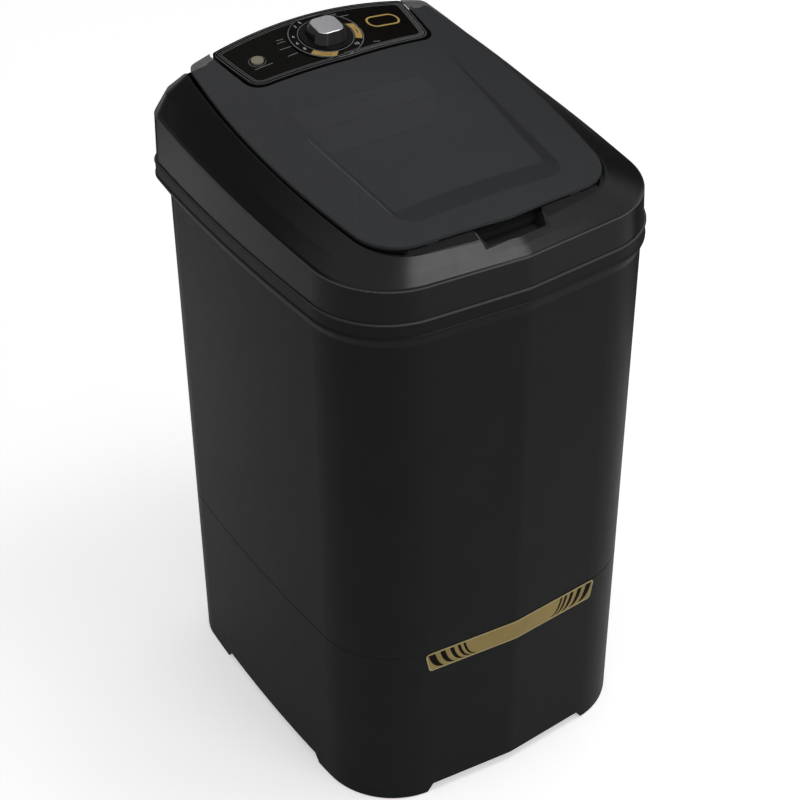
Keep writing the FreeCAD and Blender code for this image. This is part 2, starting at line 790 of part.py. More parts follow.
def wash_tub():
    bead_top = RIM_LOW_Z + RIM_BEAD
    ledge = RIM_TOP_Z - RIM_LEDGE_RISE
    groove = grown(RIM, -RIM_GROOVE)
    outer = loft([level(wall_plan(SEAM_Z), SEAM_Z), level(wall_plan(COVE_Z), COVE_Z),
                  level(RIM, RIM_LOW_Z), level(RIM, bead_top),
                  level(groove, bead_top + RIM_GROOVE_RISE), level(groove, ledge - RIM_GROOVE),
                  level(RIM, ledge), level(grown(RIM, -RIM_LEDGE), RIM_TOP_Z)])
    inside = loft([level(wall_plan(FLOOR_Z, -WALL - FLOOR_CHAMFER), FLOOR_Z),
                   level(wall_plan(FLOOR_Z, -WALL), FLOOR_Z + FLOOR_CHAMFER),
                   level(wall_plan(RIM_TOP_Z, -WALL), RIM_TOP_Z + OVER)])
    under = loft([level(wall_plan(SEAM_Z, -WALL), SEAM_Z - OVER),
                  level(wall_plan(FLOOR_UNDER, -WALL), FLOOR_UNDER)])
    room = loft([level(wall_plan(SEAM_Z, -OVER), SEAM_Z),
                 level(wall_plan(FLOOR_UNDER, -OVER), FLOOR_UNDER)])
    dish = rod(DISH_R + FLOOR, FLOOR_UNDER - DISH_UNDER + OVER, V(0, 0, DISH_UNDER))
    stub = rod(PIPE_R + PIPE_COLLAR, STUB_H + OVER, V(DRAIN_X, DRAIN_Y, STUB_Z))
    pillars = [rod(PILLAR_R, FLOOR_UNDER - PLATE_Z + OVER, p) for p in PLATE_POINTS]
    bosses = [rod(BOSS_R, BOSS_H, p).common(room) for p in wall_points(SEAM_Z)]
    tub = joined([outer.cut(inside).cut(under), dish, stub] + pillars + bosses)
    cuts = [rod(DISH_R, DISH_DEPTH + OVER, V(0, 0, DISH_FLOOR)),
            rod(SHAFT_R + SHAFT_ROOM, LONG, V(0, 0, DISH_UNDER - OVER)),
            rod(PIPE_BORE, LONG, V(DRAIN_X, DRAIN_Y, STUB_Z - OVER))]
    cuts += [screw_hole(p, UP, FLOOR) for p in HOUSING_POINTS]
    cuts += [screw_hole(p, UP, BOSS_BITE) for p in wall_points(SEAM_Z)]
    cuts += [screw_hole(p, UP, PILLAR_BITE) for p in PLATE_POINTS]
    for x in RIM_SCREW_XS:
        seat, tip = rim_screw_ends(x)
        cuts.append(rod(SCREW_HEAD_R + SCREW_HEAD_AIR, LONG, V(x, seat, RIM_SCREW_Z), BACKWARD))
        cuts.append(screw_hole(V(x, tip, RIM_SCREW_Z), BACKWARD, seat - tip))
    return tub.cut(cuts)


# Base

def base_arch(half):
    """Space of an arch between two feet, across the whole base."""
    top = half - ARCH_RUN
    return slab_profile([(-half, -OVER), (half, -OVER), (top, ARCH_H), (-top, ARCH_H)], FAR)


def base_skirt():
    outer = loft([level(wall_plan(0), FOOT_LIFT), level(wall_plan(SEAM_Z), SEAM_Z - SEAM_CHAMFER),
                  level(wall_plan(SEAM_Z, -SEAM_CHAMFER), SEAM_Z)])
    inner = loft([level(wall_plan(0, -BASE_WALL), FOOT_LIFT - OVER),
                  level(wall_plan(SEAM_Z, -BASE_WALL), SEAM_Z + OVER)])
    fill = loft([level(wall_plan(0, -BASE_WALL / 2), FOOT_LIFT),
                 level(wall_plan(SEAM_Z, -BASE_WALL / 2), SEAM_Z)])
    mouth = prism(wall_plan(SEAM_Z, -BASE_WALL - FLANGE_W), 0, SEAM_Z + OVER)
    flange = fill.common(box(-FAR, FAR, -FAR, FAR, SEAM_Z - FLANGE_T, SEAM_Z)).cut(mouth)
    plates = []
    for sx in SIDES:
        for sy in SIDES:
            xs = sorted((sx * (ARCH_FRONT_HALF + FOOT_MARGIN), sx * FAR))
            ys = sorted((sy * (ARCH_SIDE_HALF + FOOT_MARGIN), sy * FAR))
            plates.append(fill.common(box(xs[0], xs[1], ys[0], ys[1], FOOT_Z, FOOT_Z + FOOT_PLATE)))
    front_arch = base_arch(ARCH_FRONT_HALF)
    front_arch.rotate(V(0, 0, 0), UP, 90)
    base = joined([outer.cut(inner), flange] + plates)
    drain_y, gland_y = rear_y(BODY, DRAIN_X), rear_y(BODY, GLAND_X)
    window = COVER_HALF - COVER_LAP
    cuts = [base_arch(ARCH_SIDE_HALF), front_arch,
            rod(PIPE_R + OVER, LONG, V(DRAIN_X, drain_y - LONG / 2, DRAIN_Z), BACKWARD),
            rod(GLAND_R, LONG, V(GLAND_X, gland_y - LONG / 2, GLAND_Z), BACKWARD),
            box(-window, window, 0, FAR, COVER_LOW + COVER_LAP, COVER_TOP - COVER_LAP)]
    cuts += [screw_hole(p - UP * FLANGE_T, UP, FLANGE_T) for p in wall_points(SEAM_Z)]
    cuts += [screw_hole(p - BACKWARD * COVER_SCREW, BACKWARD, COVER_SCREW) for p in cover_points()]
    cuts += [rod(PAD_PEG_R, LONG, p) for p in PAD_POINTS]
    return base.cut(cuts)


def foot_pads():
    pads = []
    for p in PAD_POINTS:
        pad = Part.makeCone(PAD_R - PAD_TAPER, PAD_R, FOOT_Z, p)
        pads.append(joined([pad, rod(PAD_PEG_R - SEAT_GAP, FOOT_Z + FOOT_PLATE, p)]))
    return group(pads)


def skin(step_in, step_out):
    """A thin layer over the base's wall between two offsets."""
    def solid(step):
        return loft([level(wall_plan(0, step), 0), level(wall_plan(SEAM_Z, step), SEAM_Z)])
    return solid(step_out).cut(solid(step_in))


def rear_cover():
    sheet = skin(SEAT_GAP, SEAT_GAP + COVER_T)
    sheet = sheet.common(box(-COVER_HALF, COVER_HALF, 0, FAR, COVER_LOW, COVER_TOP))
    cuts = [box(-VENT_HALF, VENT_HALF, 0, FAR, z, z + VENT_H)
            for z in (VENT_LOW + VENT_PITCH * k for k in range(VENT_COUNT))]
    cuts += [screw_hole(p - BACKWARD * COVER_SCREW, BACKWARD, 2 * COVER_SCREW) for p in cover_points()]
    return sheet.cut(cuts)


def cover_screws():
    seat = BACKWARD * (SEAT_GAP + COVER_T + COVER_SCREW_AIR)
    return group([screw(p + seat, V(0, -1, 0), COVER_SCREW) for p in cover_points()])


def front_band():
    top = SEAM_Z - BAND_DROP
    low = top - BAND_H
    points = [V(-BAND_HALF_TOP, -FAR, top), V(BAND_HALF_TOP, -FAR, top),
              V(BAND_HALF_LOW, -FAR, low), V(-BAND_HALF_LOW, -FAR, low)]
    stamp = polygon_face(points).extrude(V(0, FAR, 0))
    stamp = stamp.makeFillet(BAND_CORNER, edges_along(stamp, BACKWARD))
    return skin(SEAT_GAP, SEAT_GAP + BAND_T).common(stamp)


def base_screws():
    return group([screw(p - UP * FLANGE_T, UP, FLANGE_T + BOSS_BITE) for p in wall_points(SEAM_Z)])


# Top frame

SKIRT = grown(RIM, -SKIRT_STEP)
SKIRT_TOP = grown(SKIRT, -SKIRT_DRAFT)


def hip_wire(share, bulge=0.0):
    """Outline part of the way up the frame's slope, from the skirt's top to the lid's seat."""
    plan = mixed(SKIRT_TOP, SEAT, share)
    plan = plan._replace(apex=plan.apex + bulge, half_back=plan.half_back + bulge)
    seat_slope = seat_z(1) - seat_z(0)
    height = skirt_z(0) + (seat_z(0) - skirt_z(0)) * share
    return sloped(plan, height, SKIRT_SLOPE + (seat_slope - SKIRT_SLOPE) * share)


def frame_block():
    """The frame's outer form, solid."""
    return loft([level(SKIRT, RIM_TOP_Z), sloped(SKIRT_TOP, skirt_z(0) - EDGE_SOFT, SKIRT_SLOPE),
                 hip_wire(EDGE_SHARE), hip_wire(0.5, HIP_BULGE), hip_wire(1.0)])


def frame_hollow():
    """The space inside the frame's walls and under its deck."""
    seat_slope = seat_z(1) - seat_z(0)
    return loft([level(grown(SKIRT, -FRAME_WALL), RIM_TOP_Z - OVER),
                 sloped(grown(SKIRT_TOP, -FRAME_WALL), skirt_z(0) - FRAME_WALL - EDGE_SOFT, SKIRT_SLOPE),
                 sloped(grown(SEAT, -FRAME_WALL), deck_z(0) - FRAME_WALL, seat_slope)])


def lid_ring(outer_step, inner_step):
    """Upright ring along the lid's outline."""
    return prism(grown(LID, outer_step)).cut(prism(grown(LID, inner_step)))


def upstand():
    """The wall under the lid's edge; its top follows the lid's crowned edge."""
    wall = lid_ring(-UPSTAND_IN, -UPSTAND_IN - UPSTAND_T).common(crown_block(LID_RIM + LID_GAP))
    return wall.cut(below_deck(-FRAME_WALL / 2)).common(box(-FAR, FAR, -FAR, UPSTAND_BACK, LOW, HIGH))


def sill_wire(x):
    """YZ section of the slope in front of the upstand, from the frame's upper edge to the lid's edge."""
    foot = front_y(SEAT, x) + SILL_IN
    face = front_y(grown(LID, -UPSTAND_IN), x)
    back = face + UPSTAND_T / 2
    top = top_z(x, face) - LID_RIM - LID_GAP - SILL_DROP
    return Part.makePolygon([V(x, foot, seat_z(foot)), V(x, back, top),
                             V(x, back, deck_z(back) - FRAME_WALL / 2),
                             V(x, foot, seat_z(foot) - FRAME_WALL / 2), V(x, foot, seat_z(foot))])


def sill():
    pane = 2 * SILL_HALF / SILL_PANES
    return loft([sill_wire(-SILL_HALF + pane * k) for k in range(SILL_PANES + 1)])


def hinge_spans():
    """X spans of the inner lug, the knuckle and the outer lug on the right side."""
    knuckle = LUG_IN + LUG_T + HINGE_PLAY
    outer = knuckle + KNUCKLE_W + HINGE_PLAY
    return (LUG_IN, LUG_IN + LUG_T), (knuckle, knuckle + KNUCKLE_W), (outer, outer + LUG_T)


def ear_swing():
    """Radius about the hinge that the lid's rear corners sweep, with some air."""
    x = PANEL_HALF_BACK
    y = rear_y(LID, x)
    return math.hypot(y - HINGE_Y, top_z(x, y) - HINGE_Z) + EAR_AIR


def hinge_lugs():
    lugs = []
    inner, knuckle, outer = hinge_spans()
    low = HINGE_Z - LUG_DEPTH
    for x0, x1 in (inner, outer):
        front = HINGE_Y - ear_swing() - LUG_ARM_BITE
        arm = box(x0, x1, front, HINGE_Y, low, HINGE_Z - LUG_ARM_TOP)
        neck = box(x0, x1, HINGE_Y - LUG_R, HINGE_Y + LUG_R, low, HINGE_Z)
        eye = rod(LUG_R, x1 - x0, V(x0, HINGE_Y, HINGE_Z), RIGHT)
        lugs += both_sides(joined([arm, neck, eye]))
    return lugs


def hinge_rods(radius):
    """Rods along the hinge's axis over both lugs of each side."""
    inner, knuckle, outer = hinge_spans()
    return both_sides(rod(radius, outer[1] - inner[0], V(inner[0], HINGE_Y, HINGE_Z), RIGHT))


def ear_rooms():
    """Space that the lid's rear corners swing through."""
    swing = ear_swing()
    inner = PANEL_HALF_BACK + EAR_AIR
    outer = LID_HALF_BACK + RECESS_STEP
    wheel = rod(swing, outer - inner, V(inner, HINGE_Y, HINGE_Z), RIGHT)
    above = box(inner, outer, HINGE_Y - swing, HINGE_Y + swing, HINGE_Z, HIGH)
    return both_sides(wheel.fuse(above))


def finger_pocket():
    """Space of the hand hold under the lid's front edge, with a V front and splayed ends."""
    wires = []
    for z in (POCKET_FLOOR, HIGH):
        half = POCKET_HALF + POCKET_FLARE * (z - POCKET_FLOOR) / POCKET_RISE
        points = [V(-half, POCKET_FRONT + POCKET_PROW, z), V(0, POCKET_FRONT, z),
                  V(half, POCKET_FRONT + POCKET_PROW, z), V(half + POCKET_SPLAY, POCKET_BACK, z),
                  V(-half - POCKET_SPLAY, POCKET_BACK, z)]
        wires.append(Part.makePolygon(points + points[:1]))
    return loft(wires)


def top_frame():
    form = frame_block()
    tub_mouth = wall_plan(RIM_TOP_Z, -WALL - LAP_GAP)
    way_in = prism(grown(tub_mouth, -LAP_T))
    flange = prism(grown(SKIRT, -OVER), RIM_TOP_Z, RIM_TOP_Z + FRAME_WALL).cut(way_in)
    lap = prism(tub_mouth, RIM_TOP_Z - LAP_H, RIM_TOP_Z + OVER).cut(way_in)
    apron_z = deck_z(OPENING_BACK)
    apron = box(-APRON_HALF, APRON_HALF, OPENING_BACK, OPENING_BACK + LIP_T, apron_z - APRON_H, apron_z)
    cup_half = POCKET_HALF + POCKET_FLARE + POCKET_SPLAY + FRAME_WALL
    cup = box(-cup_half, cup_half, POCKET_FRONT - FRAME_WALL, POCKET_BACK + FRAME_WALL,
              POCKET_FLOOR - FRAME_WALL, HIGH).common(form)
    front_part = box(-FAR, FAR, -FAR, OPENING_BACK, LOW, HIGH)
    mouth = prism(grown(LID, -OPENING_INSET)).common(front_part)
    recess = prism(grown(LID, RECESS_STEP)).cut(below_deck(0))
    lip = lid_ring(-OPENING_INSET + LIP_T, -OPENING_INSET).common(front_part)
    lip = lip.common(below_deck(-OVER)).cut(below_deck(-LIP_H))
    well_x, well_y = TIMER_W / 2 + TIMER_AIR_X, TIMER_D / 2 + TIMER_AIR_Y
    timer_well = box(-well_x, well_x, DIAL_Y - well_y, DIAL_Y + well_y, HINGE_Z - TIMER_WELL, HIGH)
    frame = joined([form.cut(frame_hollow()), flange, lap, apron, cup]).cut([mouth, recess])
    frame = joined([frame, lip, upstand(), sill()]).cut([finger_pocket(), timer_well] + ear_rooms())
    frame = joined([frame] + hinge_lugs())
    pilots = []
    for x in RIM_SCREW_XS:
        seat, tip = rim_screw_ends(x)
        pilots.append(screw_hole(V(x, tip, RIM_SCREW_Z), BACKWARD, seat - tip))
    return frame.cut(hinge_rods(PIN_R) + pilots)


def frame_screws():
    screws = []
    for x in RIM_SCREW_XS:
        seat, tip = rim_screw_ends(x)
        screws.append(screw(V(x, seat, RIM_SCREW_Z), V(0, -1, 0), seat - tip))
    return group(screws)


def lid_hinge_pins():
    return group(hinge_rods(PIN_R))


def lid_bumpers():
    layer = lid_ring(-UPSTAND_IN - BUMPER_INSET, -UPSTAND_IN - UPSTAND_T + BUMPER_INSET)
    layer = layer.common(crown_block(LID_RIM + BUMPER_AIR)).cut(crown_block(LID_RIM + LID_GAP - SEAT_GAP))
    x0, x1 = BUMPER_FRONT_X - BUMPER_HALF, BUMPER_FRONT_X + BUMPER_HALF
    pads = [layer.common(box(x0, x1, -FAR, 0, LOW, HIGH))]
    for y in BUMPER_SIDE_Y:
        pads.append(layer.common(box(0, FAR, y - BUMPER_HALF, y + BUMPER_HALF, LOW, HIGH)))
    return group([twin for pad in pads for twin in both_sides(pad)])


# Lid

def pan_half(y):
    """Half the width of the pan's outline, which has round front corners."""
    share = (y - PAN_FRONT) / (PANEL_TIP - PAN_FRONT)
    half = PAN_HALF_FRONT + (PAN_HALF_BACK - PAN_HALF_FRONT) * share
    short = PAN_CORNER - min(max(y - PAN_FRONT, 0.0), PAN_CORNER)
    return half - PAN_CORNER + math.sqrt(PAN_CORNER ** 2 - short ** 2)


def pan_depth(y):
    """Depth of the pan: a ramp at its front, then a floor that meets the lid's surface at its end."""
    end = PANEL_TIP - PAN_END
    return PAN_DEPTH * min((y - PAN_FRONT) / PAN_RAMP, (end - y) / (end - PAN_FRONT - PAN_RAMP))


def pan_wire(y, step):
    """Cross-section of the space above the lid's sunk pan, lowered and widened by a step."""
    depth = pan_depth(y) + step
    foot = pan_half(y) + 2 * step - depth * PAN_RUN / PAN_DEPTH
    low = top_z(foot, y) - depth
    left, right = V(-foot, y, low), V(foot, y, low)
    lip = V(foot + 2 * PAN_RUN, y, low + 2 * PAN_DEPTH)
    arc = Part.Arc(left, V(0, y, top_z(0, y) - depth), right).toShape()
    rest = Part.makePolygon([right, lip, V(lip.x, y, HIGH), V(-lip.x, y, HIGH), mirrored(lip), left])
    return Part.Wire([arc] + rest.Edges)


def pan_space(step):
    turns = [math.pi / 2 * k / PAN_CORNER_STEPS for k in range(PAN_CORNER_STEPS + 1)]
    corner = [PAN_FRONT + PAN_CORNER * (1 - math.cos(turn)) for turn in turns]
    rows = [PAN_FRONT - PAN_LEAD] + corner + [PAN_FRONT + PAN_RAMP, PANEL_TIP]
    return loft([pan_wire(y, step) for y in rows])


def lid():
    sheet = prism(LID).common(crown_block(0)).cut(crown_block(LID_RIM))
    sheet = sheet.cut(prism(grown(LID, -LID_SKIN)).common(crown_block(LID_SKIN)))
    thick = pan_space(LID_SKIN).common(crown_block(LID_SKIN / 2))
    body = joined([sheet, thick]).cut([pan_space(0.0), prism(grown(PANEL, PANEL_GAP))])
    x0, x1 = hinge_spans()[1]
    eye = rod(KNUCKLE_R, x1 - x0, V(x0, HINGE_Y, HINGE_Z), RIGHT)
    web = box(x0, x1, HINGE_Y - KNUCKLE_R, HINGE_Y + KNUCKLE_R / 2, HINGE_Z, HIGH)
    web = web.common(crown_block(LID_SKIN / 2))
    return joined([body] + both_sides(joined([eye, web]))).cut(hinge_rods(PIN_R + PIN_PLAY))


# Control panel

def panel_holes():
    """Holes of the timer's shaft and the button through the panel."""
    depth = V(0, 0, -LONG / 2)
    return [placed(rod(SHAFT_HOLE_R, LONG, depth), 0, DIAL_Y),
            placed(rod(BUTTON_R + BUTTON_PLAY, LONG, depth), BUTTON_X, BUTTON_Y)]


def control_panel():
    solid = prism(PANEL).common(crown_block(0)).cut(below_deck(0))
    inside = prism(grown(PANEL, -PANEL_WALL)).common(crown_block(PANEL_UNDER))
    recess = prism(grown(PANEL, -BEZEL)).cut(crown_block(BEZEL_RECESS))
    line_in = grown(PANEL, -BEZEL_LINE_INSET - BEZEL_LINE)
    line = prism(grown(PANEL, -BEZEL_LINE_INSET)).cut(prism(line_in)).cut(crown_block(BEZEL_LINE_DEPTH))
    return solid.cut([inside, recess, line] + panel_holes())


def panel_fascia():
    sheet = prism(grown(PANEL, -BEZEL - FASCIA_GAP)).common(crown_block(FASCIA_TOP))
    return sheet.cut([crown_block(FASCIA_TOP + FASCIA_T)] + panel_holes())


def dial_plate():
    disc = tube(DIAL_R, SHAFT_HOLE_R, DIAL_PROUD + DIAL_ROOT, V(0, 0, -DIAL_ROOT))
    edge = [rim for rim in rims_at(disc, DIAL_PROUD) if rim.BoundBox.XLength > DIAL_R]
    disc = placed(disc.makeChamfer(DIAL_CHAMFER, edge), 0, DIAL_Y)
    disc = disc.cut(crown_block(FASCIA_TOP - SEAT_GAP))
    return disc.common(prism(grown(PANEL, -BEZEL - FASCIA_GAP)))


def timer_body():
    case = box(-TIMER_W / 2, TIMER_W / 2, -TIMER_D / 2, TIMER_D / 2, -TIMER_H, OVER)
    lug_x = TIMER_W / 2 + TIMER_LUG
    lugs = box(-lug_x, lug_x, -TIMER_LUG_HALF, TIMER_LUG_HALF, -TIMER_LUG_H, OVER)
    bore = rod(TIMER_SHAFT_R + SHAFT_PLAY, LONG, V(0, 0, -SHAFT_BORE_SINK))
    case = placed(joined([case, lugs]).cut(bore), 0, DIAL_Y)
    return case.common(crown_block(PANEL_UNDER + SEAT_GAP))


def timer_shaft():
    flat = box(SHAFT_FLAT, LONG, -LONG, LONG, KNOB_FLOOR + KNOB_BASE_H, LONG)
    shaft = rod(TIMER_SHAFT_R, KNOB_PEAK - GRIP_ROOF - SEAT_GAP + SHAFT_SINK, V(0, 0, -SHAFT_SINK))
    return placed(shaft.cut(flat), 0, DIAL_Y)


def rounded_square(width, corner, z):
    """Closed wire of a square with round corners, centred on the axis."""
    half = width / 2
    flat = half - corner
    bend_mid = flat + corner * math.sqrt(0.5)
    edges = []
    for k in range(4):
        turn = FreeCAD.Rotation(UP, 90 * k)
        run = Part.makeLine(V(half, -flat, z), V(half, flat, z))
        bend = Part.Arc(V(half, flat, z), V(bend_mid, bend_mid, z), V(flat, half, z)).toShape()
        for edge in (run, bend):
            edge.Placement = FreeCAD.Placement(V(0, 0, 0), turn)
            edges.append(edge)
    return Part.Wire(edges)


def knob_bore():
    return rod(TIMER_SHAFT_R + SHAFT_PLAY, KNOB_PEAK - GRIP_ROOF, V(0, 0, 0))


def timer_knob():
    disc = rod(KNOB_R, KNOB_BASE_H, V(0, 0, KNOB_FLOOR))
    disc = disc.makeFillet(KNOB_BASE_ROUND, rims_at(disc, KNOB_FLOOR + KNOB_BASE_H))
    return placed(disc.cut(knob_bore()), 0, DIAL_Y)


def knob_grip():
    grip = loft([rounded_square(GRIP_FOOT_W, GRIP_FOOT_CORNER, KNOB_FLOOR + KNOB_BASE_H + SEAT_GAP),
                 rounded_square(GRIP_TOP_W, GRIP_TOP_CORNER, KNOB_PEAK)])
    width = GRIP_TOP_W - 2 * KNOB_CAP_INSET
    corner = GRIP_TOP_CORNER - KNOB_CAP_INSET
    seat = loft([rounded_square(width, corner, KNOB_PEAK - KNOB_CAP_T),
                 rounded_square(width, corner, KNOB_PEAK + OVER)])
    return placed(grip.cut([seat, knob_bore()]), 0, DIAL_Y)


def knob_cap():
    inset = KNOB_CAP_INSET + SEAT_GAP
    width = GRIP_TOP_W - 2 * inset
    corner = GRIP_TOP_CORNER - inset
    top = KNOB_PEAK + KNOB_CAP_PROUD
    plate = loft([rounded_square(width, corner, KNOB_PEAK - KNOB_CAP_T + SEAT_GAP),
                  rounded_square(width, corner, KNOB_PEAK + KNOB_CAP_EDGE),
                  rounded_square(width - 2 * KNOB_CAP_PROUD, corner - KNOB_CAP_PROUD, top)])
    mark = box(-KNOB_MARK_HALF, KNOB_MARK_HALF, width / 2 - KNOB_MARK_IN, width / 2 - KNOB_MARK_OUT,
               top - KNOB_MARK_DEPTH, top + OVER)
    return placed(plate.cut(mark), 0, DIAL_Y)


def push_button():
    foot = -PANEL_UNDER - BUTTON_FOOT
    cap = rod(BUTTON_R, BUTTON_PROUD - foot, V(0, 0, foot))
    cap = cap.makeFillet(BUTTON_ROUND, rims_at(cap, BUTTON_PROUD))
    flange_low = foot - BUTTON_FLANGE_T
    flange = rod(BUTTON_FLANGE_R, BUTTON_FLANGE_T, V(0, 0, flange_low))
    stem = rod(BUTTON_STEM_R, BUTTON_STEM_H, V(0, 0, flange_low + OVER - BUTTON_STEM_H))
    return placed(joined([cap, flange, stem]), BUTTON_X, BUTTON_Y)


def button_switch():
    cup = rod(SWITCH_R, SWITCH_H + SWITCH_TOP, V(0, 0, -PANEL_UNDER - SWITCH_H))
    well = rod(BUTTON_FLANGE_R + SWITCH_WELL_AIR, LONG, V(0, 0, -PANEL_UNDER - SWITCH_WELL))
    guide = rod(BUTTON_STEM_R + BUTTON_PLAY, LONG, V(0, 0, -PANEL_UNDER - SWITCH_GUIDE))
    cup = placed(cup.cut([well, guide]), BUTTON_X, BUTTON_Y)
    return cup.common(crown_block(PANEL_UNDER + SEAT_GAP))


# Detergent dispenser

DISP_FRONT = OPENING_BACK - DISP_DEPTH
DISP_LOW = DISP_TOP - DISP_H


def dispenser_housing():
    back = OPENING_BACK - SEAT_GAP
    case = box(-DISP_HALF, DISP_HALF, DISP_FRONT, back, DISP_LOW, DISP_TOP)
    corners = [edge for edge in edges_along(case, UP) if edge.Vertexes[0].Y < DISP_FRONT + OVER]
    case = case.makeFillet(DISP_CORNER, corners)
    half = DISP_HALF - DISP_CHEEK
    room = box(-half, half, DISP_FRONT - OVER, back - DISP_WALL, DISP_LOW + DISP_WALL, DISP_TOP - DISP_WALL)
    inlet = rod(DISP_INLET_R, LONG, V(0, back - DISP_INLET_BACK, DISP_TOP - 2 * DISP_WALL))
    return case.cut([room, inlet])


def dispenser_drawer():
    low = DISP_LOW + DISP_WALL + DRAWER_GAP
    high = DISP_TOP - DISP_WALL - DRAWER_GAP - DRAWER_LOW_TOP
    half = DISP_HALF - DISP_CHEEK - DRAWER_GAP
    back = OPENING_BACK - DISP_WALL - DRAWER_BACK
    front = DISP_FRONT - DRAWER_FRONT
    tray = box(-half, half, front, back, low, high)
    room = box(DISP_WALL / 2, half - DISP_WALL, front + 2 * DISP_WALL, back - DISP_WALL,
               low + DISP_WALL, HIGH)
    grip_low = low + DRAWER_GRIP_LOW
    grip = box(-DRAWER_GRIP_HALF, DRAWER_GRIP_HALF, front - DRAWER_GRIP_REACH, front + OVER,
               grip_low, grip_low + DRAWER_GRIP_T)
    return joined([tray.cut(both_sides(room)), grip])


# Impeller and drive

def impeller():
    bore = SHAFT_TOP_R + SHAFT_PLAY
    disc = turned([(bore, IMPELLER_LOW), (IMPELLER_R, IMPELLER_LOW),
                   (IMPELLER_R, IMPELLER_TOP - IMPELLER_EDGE_H),
                   (IMPELLER_R - IMPELLER_EDGE, IMPELLER_TOP), (DOME_FOOT_R, IMPELLER_TOP),
                   (DOME_TOP_R, IMPELLER_PEAK), (bore, IMPELLER_PEAK)], V(0, 0, 0))
    low = IMPELLER_TOP - OVER
    crest = IMPELLER_TOP + VANE_H
    profile = [(VANE_IN, low), (IMPELLER_R - VANE_OUT, low), (IMPELLER_R - VANE_TIP, crest - VANE_H / 2),
               (DOME_FOOT_R, crest + VANE_CREST), (VANE_IN, crest + VANE_HUB)]
    vanes = []
    for k in range(VANE_COUNT):
        vane = polygon_face([V(x, -VANE_W / 2, z) for x, z in profile]).extrude(V(0, VANE_W, 0))
        vane.rotate(V(0, 0, 0), UP, k * 360.0 / VANE_COUNT)
        vanes.append(vane)
    weeps = ring_points(WEEP_RING, 2 * VANE_COUNT, V(0, 0, IMPELLER_LOW - OVER), 90.0 / VANE_COUNT)
    cuts = [rod(WEEP_R, LONG, p) for p in weeps] + [rod(bore, 2 * LONG, V(0, 0, IMPELLER_LOW - OVER))]
    return joined([disc] + vanes).cut(cuts)


def drive_shaft():
    low = PULLEY_Z - PULLEY_W / 2 - SHAFT_TAIL
    top = IMPELLER_PEAK - OVER
    shaft = joined([rod(SHAFT_R, IMPELLER_LOW - SHAFT_SHOULDER - low, V(0, 0, low)),
                    rod(SHAFT_TOP_R, top - low, V(0, 0, low))])
    return shaft.cut(rod(SCREW_R + SCREW_PLAY, SHAFT_TAP + OVER, V(0, 0, top - SHAFT_TAP)))


def impeller_screw():
    cap = Part.makeCone(IMPELLER_CAP_R, IMPELLER_CAP_TOP_R, IMPELLER_CAP_H,
                        V(0, 0, IMPELLER_PEAK + SEAT_GAP))
    shank = rod(SCREW_R, IMPELLER_SCREW + OVER, V(0, 0, IMPELLER_PEAK - IMPELLER_SCREW))
    return joined([cap, shank])


def bearing_housing():
    flange_low = DISH_UNDER - HOUSING_FLANGE_T
    body = joined([rod(HOUSING_FLANGE_R, HOUSING_FLANGE_T, V(0, 0, flange_low)),
                   rod(HOUSING_R, HOUSING_H + OVER, V(0, 0, HOUSING_LOW)),
                   Part.makeCone(HOUSING_R, HOUSING_R + HOUSING_CONE, HOUSING_CONE_H,
                                 V(0, 0, flange_low + OVER - HOUSING_CONE_H))])
    cuts = [rod(BUSH_R, HOUSING_H + HOUSING_FLANGE_T + 2 * OVER, V(0, 0, HOUSING_LOW - OVER)),
            rod(SEAL_R, SEAL_H + OVER, V(0, 0, DISH_UNDER - SEAL_H))]
    for p in HOUSING_POINTS:
        seat = p - UP * HOUSING_FLANGE_T
        cuts.append(screw_hole(seat, UP, HOUSING_FLANGE_T))
        cuts.append(rod(SCREW_HEAD_R + SCREW_HEAD_AIR, LONG, seat - UP * LONG))
    return body.cut(cuts)


def bush(z):
    return tube(BUSH_R - SHAFT_PLAY, SHAFT_R + SHAFT_PLAY, BUSH_H, V(0, 0, z))


def upper_bush():
    return bush(DISH_UNDER - SEAL_H - BUSH_DROP - BUSH_H)


def lower_bush():
    return bush(HOUSING_LOW)


def shaft_seal():
    return tube(SEAL_R - SEAT_GAP, SHAFT_R + SEAT_GAP, SEAL_H - SEAT_GAP, V(0, 0, DISH_UNDER - SEAL_H))


def bearing_screws():
    length = HOUSING_FLANGE_T + FLOOR - OVER
    return group([screw(p - UP * HOUSING_FLANGE_T, UP, length) for p in HOUSING_POINTS])


def grooved(radius, hub_r, bore, hub_h, centre):
    """Pulley with a V groove for the belt, turned about the upright axis at a centre."""
    half = PULLEY_W / 2
    narrow = BELT_W / 2 + BELT_GAP
    wide = narrow + GROOVE_FLARE
    root = radius - GROOVE_DEPTH
    low = -half - HUB_STEP
    return turned([(bore, low), (hub_r, low), (hub_r, -half), (radius, -half), (radius, -wide),
                   (root, -narrow), (root, narrow), (radius, wide), (radius, half), (hub_r, half),
                   (hub_r, half + hub_h), (bore, half + hub_h)], centre)


def driven_pulley():
    wheel = grooved(PULLEY_R, PULLEY_HUB_R, SHAFT_R + SHAFT_PLAY, PULLEY_HUB_H, V(0, 0, PULLEY_Z))
    root = PULLEY_R - GROOVE_DEPTH
    places = ring_points((PULLEY_HUB_R + root) / 2, PULLEY_WINDOWS, V(0, 0, PULLEY_Z - LONG / 2))
    dish = tube(root - PULLEY_DISH_RIM, PULLEY_HUB_R, PULLEY_DISH + OVER,
                V(0, 0, PULLEY_Z + PULLEY_W / 2 - PULLEY_DISH))
    return wheel.cut([rod(PULLEY_WINDOW_R, LONG, p) for p in places] + [dish])


